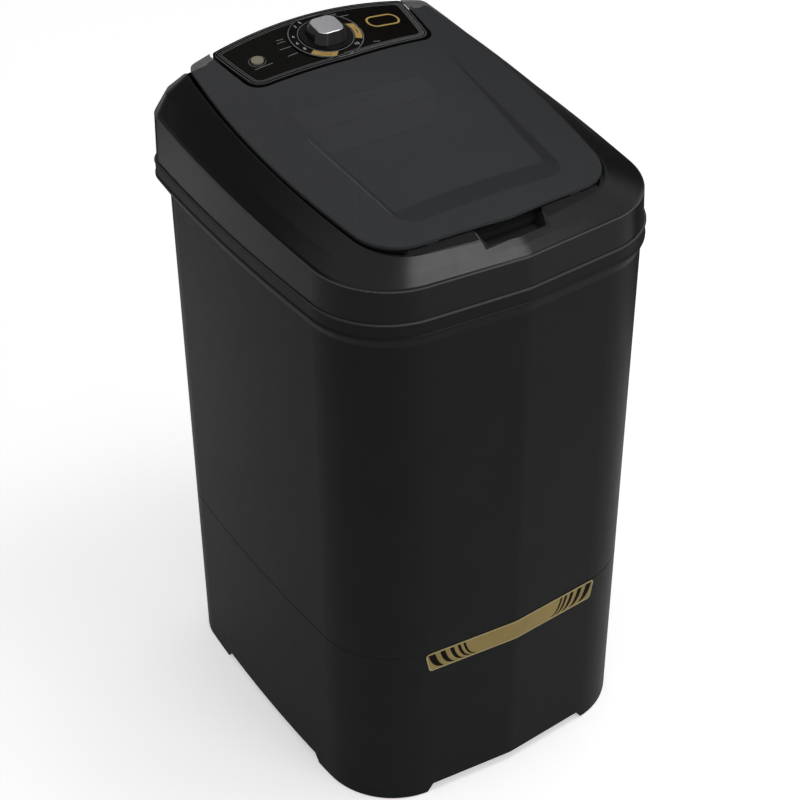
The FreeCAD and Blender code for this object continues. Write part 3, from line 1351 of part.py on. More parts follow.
def pulley_nut():
    low = PULLEY_Z - PULLEY_W / 2 - NUT_GAP - NUT_H
    nut = polygon_face(ring_points(NUT_R, 6, V(0, 0, low))).extrude(V(0, 0, NUT_H))
    return nut.cut(rod(SHAFT_R + SHAFT_PLAY, LONG, V(0, 0, low - OVER)))


def motor():
    axis = V(0, MOTOR_Y, 0)
    case_z = PLATE_Z + MOTOR_LOW_H
    bell_z = case_z + MOTOR_CASE_H
    solids = [rod(MOTOR_R, MOTOR_CASE_H, axis + UP * case_z),
              Part.makeCone(MOTOR_LOW_R, MOTOR_BELL_R, MOTOR_LOW_H + OVER, axis + UP * PLATE_Z),
              Part.makeCone(MOTOR_BELL_R, MOTOR_TOP_R, MOTOR_TOP_H, axis + UP * (bell_z - OVER))]
    for k in range(MOTOR_FINS):
        fin_z = case_z + MOTOR_FIN_PITCH * (k + 0.5)
        solids.append(tube(MOTOR_R + MOTOR_FIN_REACH, MOTOR_R - OVER, MOTOR_FIN_T, axis + UP * fin_z))
    cuts = [rod(MOTOR_SHAFT_R + SHAFT_PLAY, MOTOR_SHAFT_UP + 2 * OVER, axis + UP * (PLATE_Z - OVER))]
    cuts += [screw_hole(p, UP, MOTOR_BITE) for p in MOTOR_POINTS]
    return joined(solids).cut(cuts)


def motor_bracket():
    low = PLATE_Z - PLATE_T
    plate = box(-PLATE_HALF, PLATE_HALF, MOTOR_Y - PLATE_HALF, MOTOR_Y + PLATE_HALF, low, PLATE_Z)
    plate = plate.makeFillet(PLATE_CORNER, edges_along(plate, UP))
    cuts = [rod(PLATE_HOLE_R, LONG, V(0, MOTOR_Y, low - OVER))]
    cuts += [screw_hole(p - UP * PLATE_T, UP, PLATE_T) for p in PLATE_POINTS + MOTOR_POINTS]
    return plate.cut(cuts)


def bracket_screws():
    return group([screw(p - UP * PLATE_T, UP, PLATE_T + PILLAR_BITE) for p in PLATE_POINTS])


def motor_screws():
    return group([screw(p - UP * PLATE_T, UP, PLATE_T + MOTOR_BITE) for p in MOTOR_POINTS])


def motor_shaft():
    low = PULLEY_Z - PULLEY_W / 2 - MOTOR_SHAFT_TAIL
    return rod(MOTOR_SHAFT_R, PLATE_Z + MOTOR_SHAFT_UP - low, V(0, MOTOR_Y, low))


def motor_pulley():
    return grooved(MOTOR_PULLEY_R, MOTOR_SHAFT_R + MOTOR_HUB, MOTOR_SHAFT_R + SHAFT_PLAY, MOTOR_HUB_H,
                   V(0, MOTOR_Y, PULLEY_Z))


def belt_loop(step):
    """Face of the belt's loop round both pulleys, with its line moved outwards by a step."""
    big = PULLEY_R - GROOVE_DEPTH + step
    small = MOTOR_PULLEY_R - GROOVE_DEPTH + step
    angle = math.asin((big - small) / MOTOR_Y)
    side = V(math.cos(angle), math.sin(angle), 0)
    centre = V(0, MOTOR_Y, 0)
    a, b = side * big, centre + side * small
    edges = [Part.makeLine(a, b), Part.Arc(b, centre + V(0, small, 0), mirrored(b)).toShape(),
             Part.makeLine(mirrored(b), mirrored(a)), Part.Arc(mirrored(a), V(0, -big, 0), a).toShape()]
    return Part.Face(Part.Wire(edges))


def drive_belt():
    up = V(0, 0, BELT_W)
    loop = belt_loop(BELT_GAP + BELT_T).extrude(up).cut(belt_loop(BELT_GAP).extrude(up))
    loop.translate(V(0, 0, PULLEY_Z - BELT_W / 2))
    return loop


def capacitor():
    return rod(CAP_R, CAP_H, V(CAP_X, CAP_Y, FLOOR_UNDER - CAP_DROP - CAP_H))


def capacitor_clip():
    top = FLOOR_UNDER - SEAT_GAP
    low = FLOOR_UNDER - CLIP_DROP
    arm_y = CAP_Y + CAP_R + OVER
    x0, x1 = CAP_X - CLIP_HALF, CAP_X + CLIP_HALF
    strap = tube(CAP_R + SEAT_GAP + CLIP_T, CAP_R + SEAT_GAP, CLIP_H, V(CAP_X, CAP_Y, low))
    arm = box(x0, x1, arm_y, arm_y + CLIP_ARM_T, low, top)
    foot = box(x0, x1, arm_y - CLIP_FOOT, arm_y + CLIP_ARM_T, top - CLIP_ARM_T, top)
    return joined([strap, arm, foot])


# Drain, filter and rear fittings

def drain_pipe(radius, top, end):
    """Rod that drops from the tub's stub, bends and runs to the back wall."""
    bend = V(DRAIN_X, DRAIN_Y, DRAIN_Z)
    return [rod(radius, top - DRAIN_Z, bend), Part.makeSphere(radius, bend),
            rod(radius, end - DRAIN_Y, bend, BACKWARD)]


def drain_elbow():
    top = STUB_Z - SEAT_GAP
    end = rear_y(BODY, DRAIN_X) - PIPE_END_GAP
    collar = rod(PIPE_R + PIPE_COLLAR, PIPE_COLLAR_H, V(DRAIN_X, DRAIN_Y, top - PIPE_COLLAR_H))
    return joined(drain_pipe(PIPE_R, top, end) + [collar]).cut(drain_pipe(PIPE_BORE, top + OVER, end + OVER))


def drain_spigot():
    wall = rear_y(wall_plan(DRAIN_Z), DRAIN_X - SPIGOT_FLANGE_R)
    inner = rear_y(BODY, DRAIN_X) - PIPE_END_GAP + SEAT_GAP
    solids = [rod(SPIGOT_FLANGE_R, SPIGOT_FLANGE_T, V(DRAIN_X, wall + SEAT_GAP, DRAIN_Z), BACKWARD),
              rod(PIPE_R, wall + OVER - inner, V(DRAIN_X, inner, DRAIN_Z), BACKWARD),
              rod(SPIGOT_R, SPIGOT_REACH, V(DRAIN_X, wall, DRAIN_Z), BACKWARD)]
    bore = rod(SPIGOT_R - SPIGOT_WALL, 2 * LONG, V(DRAIN_X, inner - OVER, DRAIN_Z), BACKWARD)
    return joined(solids).cut(bore)


def cord_gland():
    wall = rear_y(wall_plan(GLAND_Z), GLAND_X + GLAND_FLANGE_R)
    solids = [rod(GLAND_FLANGE_R, GLAND_FLANGE_T, V(GLAND_X, wall + SEAT_GAP, GLAND_Z), BACKWARD),
              rod(GLAND_R - SEAT_GAP, GLAND_IN + 2 * OVER, V(GLAND_X, wall - GLAND_IN, GLAND_Z), BACKWARD),
              Part.makeCone(GLAND_R, GLAND_R - GLAND_CONE, GLAND_CONE_H, V(GLAND_X, wall + 2 * OVER, GLAND_Z),
                            BACKWARD)]
    return joined(solids).cut(rod(GLAND_BORE, LONG, V(GLAND_X, wall - LONG / 2, GLAND_Z), BACKWARD))


def filter_guide():
    side = FILTER_HALF + FILTER_GAP
    inside = loft([level(wall_plan(FLOOR_Z, -WALL - SEAT_GAP), FLOOR_Z),
                   level(wall_plan(RIM_LOW_Z, -WALL - SEAT_GAP), RIM_LOW_Z)])
    cheek = side + GUIDE_CHEEK
    block = box(-cheek, cheek, FILTER_Y - FILTER_WALL, FAR, FILTER_Z - GUIDE_CHEEK, FILTER_Z + FILTER_H)
    slot = box(-side, side, FILTER_Y - FILTER_GAP, FILTER_Y + FILTER_T + FILTER_GAP,
               FILTER_Z - FILTER_GAP, HIGH)
    half = side - FILTER_FRAME
    window = box(-half, half, FILTER_Y - LONG, FILTER_Y, FILTER_Z + FILTER_FRAME, HIGH)
    return block.common(inside).cut([slot, window])


def lint_filter():
    top = FILTER_Z + FILTER_H + FILTER_RISE
    plate = box(-FILTER_HALF, FILTER_HALF, FILTER_Y, FILTER_Y + FILTER_T, FILTER_Z, top)
    tab_y = FILTER_Y + FILTER_WALL
    tab = box(-FILTER_TAB_HALF, FILTER_TAB_HALF, tab_y, tab_y + FILTER_TAB_T, top - OVER, top + FILTER_TAB_H)
    half = FILTER_HALF - FILTER_WALL
    room = box(-half, half, FILTER_Y + FILTER_WALL, FILTER_Y + FILTER_T - FILTER_BACK,
               FILTER_Z + FILTER_WALL, FILTER_Z + FILTER_H - FILTER_TAB_H)
    inset = FILTER_FRAME + FILTER_BACK
    pitch = (FILTER_H - 2 * inset) / FILTER_SLOTS
    slot_x = FILTER_HALF - inset
    slots = []
    for k in range(FILTER_SLOTS):
        low = FILTER_Z + inset + k * pitch
        slots.append(box(-slot_x, slot_x, FILTER_Y - OVER, FILTER_Y + FILTER_WALL + OVER,
                         low, low + pitch * FILTER_SLOT_SHARE))
    return joined([plate, tab]).cut([room] + slots)


BUILDERS = [wash_tub, base_skirt, foot_pads, rear_cover, cover_screws, front_band, base_screws,
            top_frame, frame_screws, lid_hinge_pins, lid_bumpers, lid, control_panel, panel_fascia,
            dial_plate, timer_body, timer_shaft, timer_knob, knob_grip, knob_cap, push_button,
            button_switch, dispenser_housing, dispenser_drawer, impeller, drive_shaft, impeller_screw,
            bearing_housing, upper_bush, lower_bush, shaft_seal, bearing_screws, driven_pulley,
            pulley_nut, motor, motor_bracket, bracket_screws, motor_screws, motor_shaft, motor_pulley,
            drive_belt, capacitor, capacitor_clip, drain_elbow, drain_spigot, cord_gland, filter_guide,
            lint_filter]

for builder in BUILDERS:
    parts[builder.__name__] = builder()

os.makedirs("parts", exist_ok=True)
for name, shape in parts.items():
    shape.exportStep("parts/" + name + ".step")
    print(name, len(shape.Solids), "solids", shape.isValid(), round(shape.Volume / 1000, 2), "cm3")
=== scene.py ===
import math

import bpy
from mathutils import Matrix, Vector
from mathutils.bvhtree import BVHTree
from mathutils.geometry import convex_hull_2d


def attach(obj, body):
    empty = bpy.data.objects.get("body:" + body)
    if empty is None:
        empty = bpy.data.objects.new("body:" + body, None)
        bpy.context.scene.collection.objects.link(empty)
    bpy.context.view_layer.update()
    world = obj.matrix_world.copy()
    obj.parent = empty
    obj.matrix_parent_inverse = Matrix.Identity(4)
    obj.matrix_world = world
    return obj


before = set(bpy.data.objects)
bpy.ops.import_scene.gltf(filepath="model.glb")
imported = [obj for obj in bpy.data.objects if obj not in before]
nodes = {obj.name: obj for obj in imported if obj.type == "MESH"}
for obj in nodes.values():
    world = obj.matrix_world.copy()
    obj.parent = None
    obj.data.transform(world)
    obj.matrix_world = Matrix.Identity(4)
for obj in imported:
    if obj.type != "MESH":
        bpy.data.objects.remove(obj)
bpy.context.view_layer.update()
scene = bpy.context.scene
scene.view_settings.view_transform = "Standard"

# Camera at the photograph's viewpoint, in an image of 800 by 800
IMAGE = 800.0
SENSOR = 36.0
FOCAL_PX = 1936.02
CENTRE_PX = (403.01, 399.69)
AZIMUTH = math.radians(-32.738)
ELEVATION = math.radians(36.661)
ROLL = math.radians(-0.252)
EYE = Vector((-1.24926, -1.93604, 2.22108))

level = Vector((math.cos(AZIMUTH), math.sin(AZIMUTH), 0.0))
towards = Vector((math.sin(AZIMUTH), -math.cos(AZIMUTH), 0.0))
back = towards * math.cos(ELEVATION) + Vector((0.0, 0.0, math.sin(ELEVATION)))
rise = back.cross(level)
right = level * math.cos(ROLL) + rise * math.sin(ROLL)
up = rise * math.cos(ROLL) - level * math.sin(ROLL)
camera = bpy.data.objects.new("camera", bpy.data.cameras.new("camera"))
scene.collection.objects.link(camera)
camera.matrix_world = Matrix.Translation(EYE) @ Matrix((right, up, back)).transposed().to_4x4()
camera.data.sensor_width = SENSOR
camera.data.lens = FOCAL_PX * SENSOR / IMAGE
camera.data.shift_x = (IMAGE / 2 - CENTRE_PX[0]) / IMAGE
camera.data.shift_y = (CENTRE_PX[1] - IMAGE / 2) / IMAGE
camera.data.clip_end = 50.0
scene.camera = camera


# Materials

MIX_FACTOR = 0
MIX_NUMBERS = (2, 3)
MIX_COLOURS = (6, 7)
MIX_COLOUR_OUT = 2
NOISE_MIDDLE = (0.3, 0.7)
TONE_STOPS = (0.35, 0.65)
EVEN = (1.0, 1.0, 1.0)


def maths(tree, operation, first, second):
    """A maths node on two sockets."""
    node = tree.nodes.new("ShaderNodeMath")
    node.operation = operation
    tree.links.new(first, node.inputs[0])
    tree.links.new(second, node.inputs[1])
    return node.outputs[0]


def ranged(tree, source, span, values):
    """A number that follows its source over a span, from one value to another."""
    node = tree.nodes.new("ShaderNodeMapRange")
    node.inputs["From Min"].default_value, node.inputs["From Max"].default_value = span
    node.inputs["To Min"].default_value, node.inputs["To Max"].default_value = values
    tree.links.new(source, node.inputs["Value"])
    return node


class Nodes:
    """A node material with one Principled shader and short ways to wire detail into it."""

    def __init__(self, name):
        self.material = bpy.data.materials.new(name)
        self.material.use_nodes = True
        self.tree = self.material.node_tree
        self.shader = self.tree.nodes["Principled BSDF"]
        self.where = self.add("ShaderNodeTexCoord").outputs["Object"]

    def add(self, kind, **inputs):
        node = self.tree.nodes.new(kind)
        for key, value in inputs.items():
            node.inputs[key].default_value = value
        return node

    def join(self, source, target):
        self.tree.links.new(source, target)

    def noise(self, scale, detail, stretch=None):
        texture = self.add("ShaderNodeTexNoise", Scale=scale, Detail=detail)
        place = self.where
        if stretch:
            mapping = self.add("ShaderNodeMapping", Scale=stretch)
            self.join(place, mapping.inputs["Vector"])
            place = mapping.outputs["Vector"]
        self.join(place, texture.inputs["Vector"])
        return texture.outputs["Fac"]

    def tone(self, source, colour, vary):
        """A base colour that drifts a little darker and lighter with a noise."""
        tones = self.add("ShaderNodeValToRGB")
        for stop, place, factor in zip(tones.color_ramp.elements, TONE_STOPS, (1 - vary, 1 + vary)):
            stop.position = place
            stop.color = (*(c * factor for c in colour), 1.0)
        self.join(source, tones.inputs["Fac"])
        self.join(tones.outputs["Color"], self.shader.inputs["Base Color"])

    def gloss(self, source, rough, vary):
        """A roughness that varies with a noise, which itself stays near its middle."""
        uneven = ranged(self.tree, source, NOISE_MIDDLE, (rough - vary, rough + vary))
        self.join(uneven.outputs["Result"], self.shader.inputs["Roughness"])

    def bump(self, source, depth):
        """A fine relief from a noise, with its depth in metres."""
        node = self.add("ShaderNodeBump", Strength=1.0, Distance=depth)
        self.join(source, node.inputs["Height"])
        self.join(node.outputs["Normal"], self.shader.inputs["Normal"])

    def sides(self):
        """The three coordinates of the node's own space."""
        split = self.add("ShaderNodeSeparateXYZ")
        self.join(self.where, split.inputs["Vector"])
        return split.outputs

    def painted_light_box(self, low, high, colour):
        """Painted light: another base colour, without gloss, inside a box of the node's own coordinates."""
        sides = self.sides()
        tests = []
        for axis, first, last in zip("XYZ", low, high):
            test = self.add("ShaderNodeMath")
            test.operation = "COMPARE"
            test.inputs[1].default_value = (first + last) / 2
            test.inputs[2].default_value = (last - first) / 2
            self.join(sides[axis], test.inputs[0])
            tests.append(test.outputs[0])
        flat = maths(self.tree, "MULTIPLY", tests[0], tests[1])
        inside = maths(self.tree, "MULTIPLY", flat, tests[2])
        base_colour = self.shader.inputs["Base Color"]
        mix = self.add("ShaderNodeMix")
        mix.data_type = "RGBA"
        self.join(inside, mix.inputs[MIX_FACTOR])
        self.join(base_colour.links[0].from_socket, mix.inputs[MIX_COLOURS[0]])
        mix.inputs[MIX_COLOURS[1]].default_value = (*colour, 1.0)
        self.join(mix.outputs[MIX_COLOUR_OUT], base_colour)
        gloss = self.shader.inputs["Specular IOR Level"]
        dull = ranged(self.tree, inside, (0.0, 1.0), (gloss.default_value, 0.0))
        self.join(dull.outputs["Result"], gloss)


def moulded(name, colour, rough, specular=0.3, grain=1500.0, depth=0.00002, painted_light_box=None):
    """Moulded plastic: fine grain, a slow drift of tone, a slightly uneven gloss and, when a box is given,
    painted light inside it.
    """
    m = Nodes(name)
    m.tone(m.noise(scale=11.0, detail=4.0), colour, vary=0.05)
    m.gloss(m.noise(scale=60.0, detail=5.0), rough, vary=0.02)
    m.bump(m.noise(grain, detail=2.0), depth)
    m.shader.inputs["Specular IOR Level"].default_value = specular
    if painted_light_box:
        m.painted_light_box(*painted_light_box)
    return m.material


def metal(name, colour, rough, stretch=EVEN, grain=900.0, depth=0.00001):
    """Metal with tool marks that run along the short side of the stretch."""
    m = Nodes(name)
    m.tone(m.noise(scale=25.0, detail=5.0), colour, vary=0.06)
    m.gloss(m.noise(scale=120.0, detail=4.0, stretch=stretch), rough, vary=0.2 * rough)
    m.bump(m.noise(grain, detail=3.0, stretch=stretch), depth)
    m.shader.inputs["Metallic"].default_value = 1.0
    return m.material


def smoke(name, colour, rough, specular, cover, rear_cover, rear_span):
    """Smoke-tinted plastic sheet that shows a little of what is under it, and less towards its rear."""
    m = Nodes(name)
    alpha = ranged(m.tree, m.sides()["Y"], rear_span, (cover, rear_cover))
    m.join(alpha.outputs["Result"], m.shader.inputs["Alpha"])
    m.tone(m.noise(scale=9.0, detail=3.0), colour, vary=0.03)
    m.gloss(m.noise(scale=40.0, detail=4.0), rough, vary=0.02)
    m.bump(m.noise(scale=1800.0, detail=2.0), depth=0.00001)
    m.shader.inputs["Specular IOR Level"].default_value = specular
    return m.material


def ink_and_painted_light(name, colour, rough=0.45, specular=0.03):
    """A thin coat with a fine speckle, for printing and for painted highlights and shade."""
    m = Nodes(name)
    m.tone(m.noise(scale=900.0, detail=3.0), colour, vary=0.1)
    m.gloss(m.noise(scale=300.0, detail=3.0), rough, vary=0.05)
    m.bump(m.noise(scale=2500.0, detail=2.0), depth=0.000004)
    m.shader.inputs["Specular IOR Level"].default_value = specular
    return m.material


BODY_BLACK = (0.0086, 0.0092, 0.0090)
FRAME_BLACK = (0.0055, 0.0057, 0.0059)
# Painted light in the frame's finger pocket: a lighter grey without gloss inside this box, which lifts the
# pocket out of its shade
POCKET_LOW = (-0.0505, -0.2655, 0.916)
POCKET_HIGH = (0.0505, -0.225, 0.945)
POCKET_PAINTED_LIGHT = (0.022, 0.0225, 0.023)
POCKET_LIGHT_BOX = (POCKET_LOW, POCKET_HIGH, POCKET_PAINTED_LIGHT)
LID_SMOKE = (0.0365, 0.0378, 0.0402)
LID_EARS = (0.13, 0.17)

cabinet = moulded("cabinet_plastic", BODY_BLACK, rough=0.38, specular=0.07)
base = moulded("base_plastic", BODY_BLACK, rough=0.38, specular=0.07)
# The frame's plastic, with painted light in its finger pocket
frame_black = moulded("frame_plastic", FRAME_BLACK, rough=0.22, specular=0.16, painted_light_box=POCKET_LIGHT_BOX)
bezel = moulded("bezel_plastic", (0.0034, 0.0034, 0.0035), rough=0.28, specular=0.02)
fascia = moulded("fascia_gloss", (0.0036, 0.0032, 0.0027), rough=0.22, specular=0.02,
                 grain=400.0, depth=0.000004)
knob_black = moulded("knob_plastic", (0.004, 0.004, 0.004), rough=0.25, specular=0.06)
grip_black = moulded("grip_gloss", (0.004, 0.004, 0.004), rough=0.12, specular=0.25,
                     grain=900.0, depth=0.000006)
button_cream = moulded("button_plastic", (0.17, 0.155, 0.11), rough=0.40)
grey_plastic = moulded("grey_plastic", (0.45, 0.45, 0.46), rough=0.42)
pale_plastic = moulded("pale_plastic", (0.52, 0.53, 0.55), rough=0.42)
rear_plastic = moulded("rear_plastic", (0.010, 0.010, 0.011), rough=0.5, specular=0.2,
                       grain=700.0, depth=0.00006)
drain_plastic = moulded("drain_plastic", (0.05, 0.05, 0.055), rough=0.5)
rubber = moulded("rubber", (0.013, 0.013, 0.013), rough=0.75, specular=0.2, grain=600.0, depth=0.00008)
silver = metal("satin_silver", (0.47, 0.47, 0.485), rough=0.34, stretch=(1.0, 30.0, 1.0))
steel = metal("turned_steel", (0.52, 0.52, 0.53), rough=0.30, stretch=(1.0, 1.0, 40.0))
zinc = metal("zinc_plate", (0.58, 0.58, 0.56), rough=0.36)
sheet_zinc = metal("galvanised_sheet", (0.55, 0.56, 0.57), rough=0.42, grain=60.0, depth=0.00004)
cast_alloy = metal("cast_alloy", (0.50, 0.50, 0.51), rough=0.52, grain=500.0, depth=0.00012)
motor_paint = moulded("motor_paint", (0.20, 0.21, 0.22), rough=0.45, grain=500.0, depth=0.00006)
bronze = metal("sintered_bronze", (0.45, 0.29, 0.12), rough=0.48)
gold_foil = metal("gold_foil", (0.30, 0.225, 0.085), rough=0.42, stretch=(30.0, 1.0, 1.0), depth=0.000006)
lid_smoke = smoke("lid_smoke", LID_SMOKE, rough=0.34, specular=0.12,
                  cover=0.70, rear_cover=0.74, rear_span=LID_EARS)

MATERIALS = {
    "wash_tub": cabinet, "base_skirt": base, "foot_pads": rubber, "rear_cover": rear_plastic,
    "cover_screws": zinc, "front_band": gold_foil, "base_screws": zinc, "top_frame": frame_black,
    "frame_screws": zinc, "lid_hinge_pins": steel, "lid_bumpers": rubber, "lid": lid_smoke,
    "control_panel": bezel, "panel_fascia": fascia, "dial_plate": fascia, "timer_body": pale_plastic,
    "timer_shaft": steel, "timer_knob": knob_black, "knob_grip": grip_black, "knob_cap": silver,
    "push_button": button_cream, "button_switch": pale_plastic, "dispenser_housing": grey_plastic,
    "dispenser_drawer": grey_plastic, "impeller": pale_plastic, "drive_shaft": steel,
    "impeller_screw": pale_plastic, "bearing_housing": cast_alloy, "upper_bush": bronze,
    "lower_bush": bronze, "shaft_seal": rubber, "bearing_screws": zinc, "driven_pulley": cast_alloy,
    "pulley_nut": steel, "motor": motor_paint, "motor_bracket": sheet_zinc, "bracket_screws": zinc,
    "motor_screws": zinc, "motor_shaft": steel, "motor_pulley": cast_alloy, "drive_belt": rubber,
    "capacitor": sheet_zinc, "capacitor_clip": sheet_zinc, "drain_elbow": drain_plastic,
    "drain_spigot": drain_plastic, "cord_gland": rubber, "filter_guide": pale_plastic,
    "lint_filter": pale_plastic}
for name, material in MATERIALS.items():
    nodes[name].data.materials.clear()
    nodes[name].data.materials.append(material)


# Prints, painted highlights and painted shade, drawn in millimetres and laid on the surface of CAD nodes

MM = 0.001
INK_LIFT = 0.00015
INK_THICK = 0.00010
PRINT_STEP = 2.5
CURVE_STEPS = 12
FROM_ABOVE = ((1, 0, 0), (0, 1, 0), (0, 0, 2), (0, 0, -1))
FROM_FRONT = ((1, 0, 0), (0, 0, 1), (0, -2, 0), (0, 1, 0))


def resampled(points, closed=False):
    """Points along straight runs, no further apart than the print step."""
    row = [Vector(p) for p in points]
    if closed:
        row.append(row[0].copy())
    out = [row[0]]
    for a, b in zip(row, row[1:]):
        count = max(1, math.ceil((b - a).length / PRINT_STEP))
        out += [a.lerp(b, k / count) for k in range(1, count + 1)]
    return out


def arc(centre, radius, start, end):
    """Points on an arc, from one angle to another in degrees."""
    count = max(2, math.ceil(radius * math.radians(abs(end - start)) / PRINT_STEP))
    angles = [math.radians(start + (end - start) * k / count) for k in range(count + 1)]
    return [Vector((centre[0] + radius * math.cos(a), centre[1] + radius * math.sin(a))) for a in angles]


def curved(first, bend, last):
    """Points on a quadratic curve."""
    first, bend, last = (Vector(place) for place in (first, bend, last))
    shares = [k / CURVE_STEPS for k in range(CURVE_STEPS + 1)]
    return [first * (1 - t) ** 2 + bend * (2 * t * (1 - t)) + last * t ** 2 for t in shares]


def shifted(points, distance, closed=False):
    """A row of points moved sideways to the left of its direction. A closed row ends on its first point."""
    ends = (points[-2], points[1]) if closed else (points[0], points[-1])
    row = [ends[0], *points, ends[1]]
    out = []
    for before, point, after in zip(row, points, row[2:]):
        way = (after - before).normalized()
        out.append(point + Vector((-way.y, way.x)) * distance)
    return out


class Sheet:
    """The outer surface of some CAD nodes, seen along one direction."""

    def __init__(self, names, across, along, far, way):
        self.across = Vector(across)
        self.along = Vector(along)
        self.far = Vector(far)
        self.way = Vector(way)
        points = []
        faces = []
        for name in names:
            first = len(points)
            points += [v.co.copy() for v in nodes[name].data.vertices]
            faces += [[first + k for k in face.vertices] for face in nodes[name].data.polygons]
        self.tree = BVHTree.FromPolygons(points, faces)

    def at(self, place):
        """The point of the surface at a place of the sheet, lifted a little for the coat."""
        start = self.across * (place[0] * MM) + self.along * (place[1] * MM) + self.far
        point, normal, _, _ = self.tree.ray_cast(start, self.way)
        return point + normal * INK_LIFT

    def rim(self, name):
        """Closed outline of a node, as seen along the sheet's direction."""
        places = [v.co for v in nodes[name].data.vertices]
        flat = [Vector((place.dot(self.across), place.dot(self.along))) / MM for place in places]
        loop = [flat[k] for k in convex_hull_2d(flat)]
        turns = sum(a.x * b.y - a.y * b.x for a, b in zip(loop, loop[1:] + loop[:1]))
        return resampled(loop if turns > 0 else loop[::-1], closed=True)


class PrintAndPaintedLight:
    """Shapes of one colour on a sheet, made into one thin piece."""

    def __init__(self, sheet):
        self.sheet = sheet
        self.points = []
        self.faces = []

    def ribbon(self, left, right):
        """A strip of faces between two rows of places."""
        first = len(self.points)
        for a, b in zip(left, right):
            self.points += [self.sheet.at(a), self.sheet.at(b)]
        for k in range(first, len(self.points) - 2, 2):
            self.faces.append((k, k + 1, k + 3, k + 2))

    def line(self, points, width, closed=False):
        row = points if closed else resampled(points)
        self.ribbon(shifted(row, width / 2, closed), shifted(row, -width / 2, closed))

    def ring(self, centre, inner, outer, start=0.0, end=360.0):
        """A ring between two radii, or the part of it between two angles in degrees."""
        self.ribbon(arc(centre, inner, start, end), arc(centre, outer, start, end))

    def figure(self, text, centre, height):
        """Plain figures from Blender's own font."""
        curve = bpy.data.curves.new("figure", "FONT")
        curve.body = text
        curve.size = height
        curve.align_x = "CENTER"
        curve.align_y = "CENTER"
        holder = bpy.data.objects.new("figure", curve)
        mesh = bpy.data.meshes.new_from_object(holder)
        first = len(self.points)
        self.points += [self.sheet.at((centre[0] + v.co.x, centre[1] + v.co.y)) for v in mesh.vertices]
        self.faces += [tuple(first + k for k in face.vertices) for face in mesh.polygons]
        bpy.data.objects.remove(holder)
        bpy.data.curves.remove(curve)
        bpy.data.meshes.remove(mesh)

    def piece(self, name, material, body="cabinet"):
        """Makes the shapes so far into a piece that moves with a body."""
        mesh = bpy.data.meshes.new(name)
        mesh.from_pydata(self.points, [], self.faces)
        mesh.materials.append(material)
        piece = bpy.data.objects.new(name, mesh)
        scene.collection.objects.link(piece)
        solid = piece.modifiers.new("ink_and_painted_light", "SOLIDIFY")
        solid.thickness = INK_THICK
        solid.offset = -1.0
        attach(piece, body)


# Light print for the rings and labels, and painted highlights on the bezel border
light_ink_and_highlight = ink_and_painted_light("light_ink_and_highlight", (0.15, 0.15, 0.15))
# Painted light for the front of the panel bezel
painted_bezel_light = ink_and_painted_light("painted_bezel_light", (0.045, 0.045, 0.044))
white_ink = ink_and_painted_light("white_ink", (0.42, 0.42, 0.42))
gold_ink = ink_and_painted_light("gold_ink", (0.36, 0.245, 0.082))
dark_ink = ink_and_painted_light("dark_ink", (0.005, 0.0045, 0.004))
pale_gold_ink = ink_and_painted_light("pale_gold_ink", (0.40, 0.345, 0.20))
# Painted highlights for the frame's upper edge and the ledge of the tub's rim
painted_edge_highlight = ink_and_painted_light("painted_edge_highlight", (0.055, 0.056, 0.058), rough=0.35, specular=0.08)
painted_ledge_highlight = ink_and_painted_light("painted_ledge_highlight", (0.048, 0.049, 0.051), rough=0.4, specular=0.04)
# Painted highlight for the left lip of the lid's pan
painted_lip_highlight = ink_and_painted_light("painted_lip_highlight", (0.062, 0.064, 0.068), rough=0.4, specular=0.08)
# Painted shade for the sill in front of the lid, a dark matt film without the lamp's reflection
painted_sill_shade = ink_and_painted_light("painted_sill_shade", (0.0155, 0.0158, 0.0162), rough=0.6, specular=0.02)

# Control panel: painted highlights on the steps of the bezel border, painted light along its front, dial
# rings, gold arcs, figures and short label lines
DIAL = (0.0, 202.5)
DIAL_INNER = 39.6
DIAL_OUTER = 52.7
GOLD_ARCS = ((-145.0, -96.0), (-34.0, 18.0))
FIGURES = (("2", 127.0), ("4", 160.0), ("6", 180.0), ("8", 200.0), ("10", -52.0))
FIGURE_H = 8.0
START_MARK = (43.5, 49.0)
START_MARK_TURN = (110.5, 112.5)
INNER_RING_HALF = 0.5
OUTER_RING_HALF = 0.6
GOLD_INNER = DIAL_INNER + 1.8
GOLD_OUTER = DIAL_OUTER - 1.6
TICK_RING = (45.7, 47.1)
TICK_MARGIN = 0.3
BUTTON = (-112.0, 199.0)
BUTTON_RING = (11.5, 12.2)
LABELS = (((-67.0, 225.5), (-56.0, 224.0)), ((-69.0, 218.7), (-56.5, 218.4)),
          ((-73.0, 204.5), (-55.5, 203.7)), ((-71.0, 185.8), (-54.5, 186.7)),
          ((54.0, 164.0), (64.0, 161.5)), ((35.0, 246.0), (43.0, 245.6)),
          ((41.0, 237.5), (58.0, 237.0)), ((-124.0, 184.7), (-96.0, 184.1)))
LABEL_W = 1.2
BORDER_HIGHLIGHT_INSETS = (-6.2, -2.2, 0.9)
BORDER_HIGHLIGHT_W = 0.65
FRONT_COSINE = 0.9
FRONT_PAINTED_LIGHT = ((-3.8, -0.5), (1.8, 4.2))
FRAME_MARK = (98.0, 208.5)
FRAME_MARK_HALF = (24.5, 12.5)
FRAME_MARK_CORNER = 11.5
FRAME_MARK_W = 3.0

panel = Sheet(("control_panel", "panel_fascia", "dial_plate"), *FROM_ABOVE)
border = panel.rim("panel_fascia")

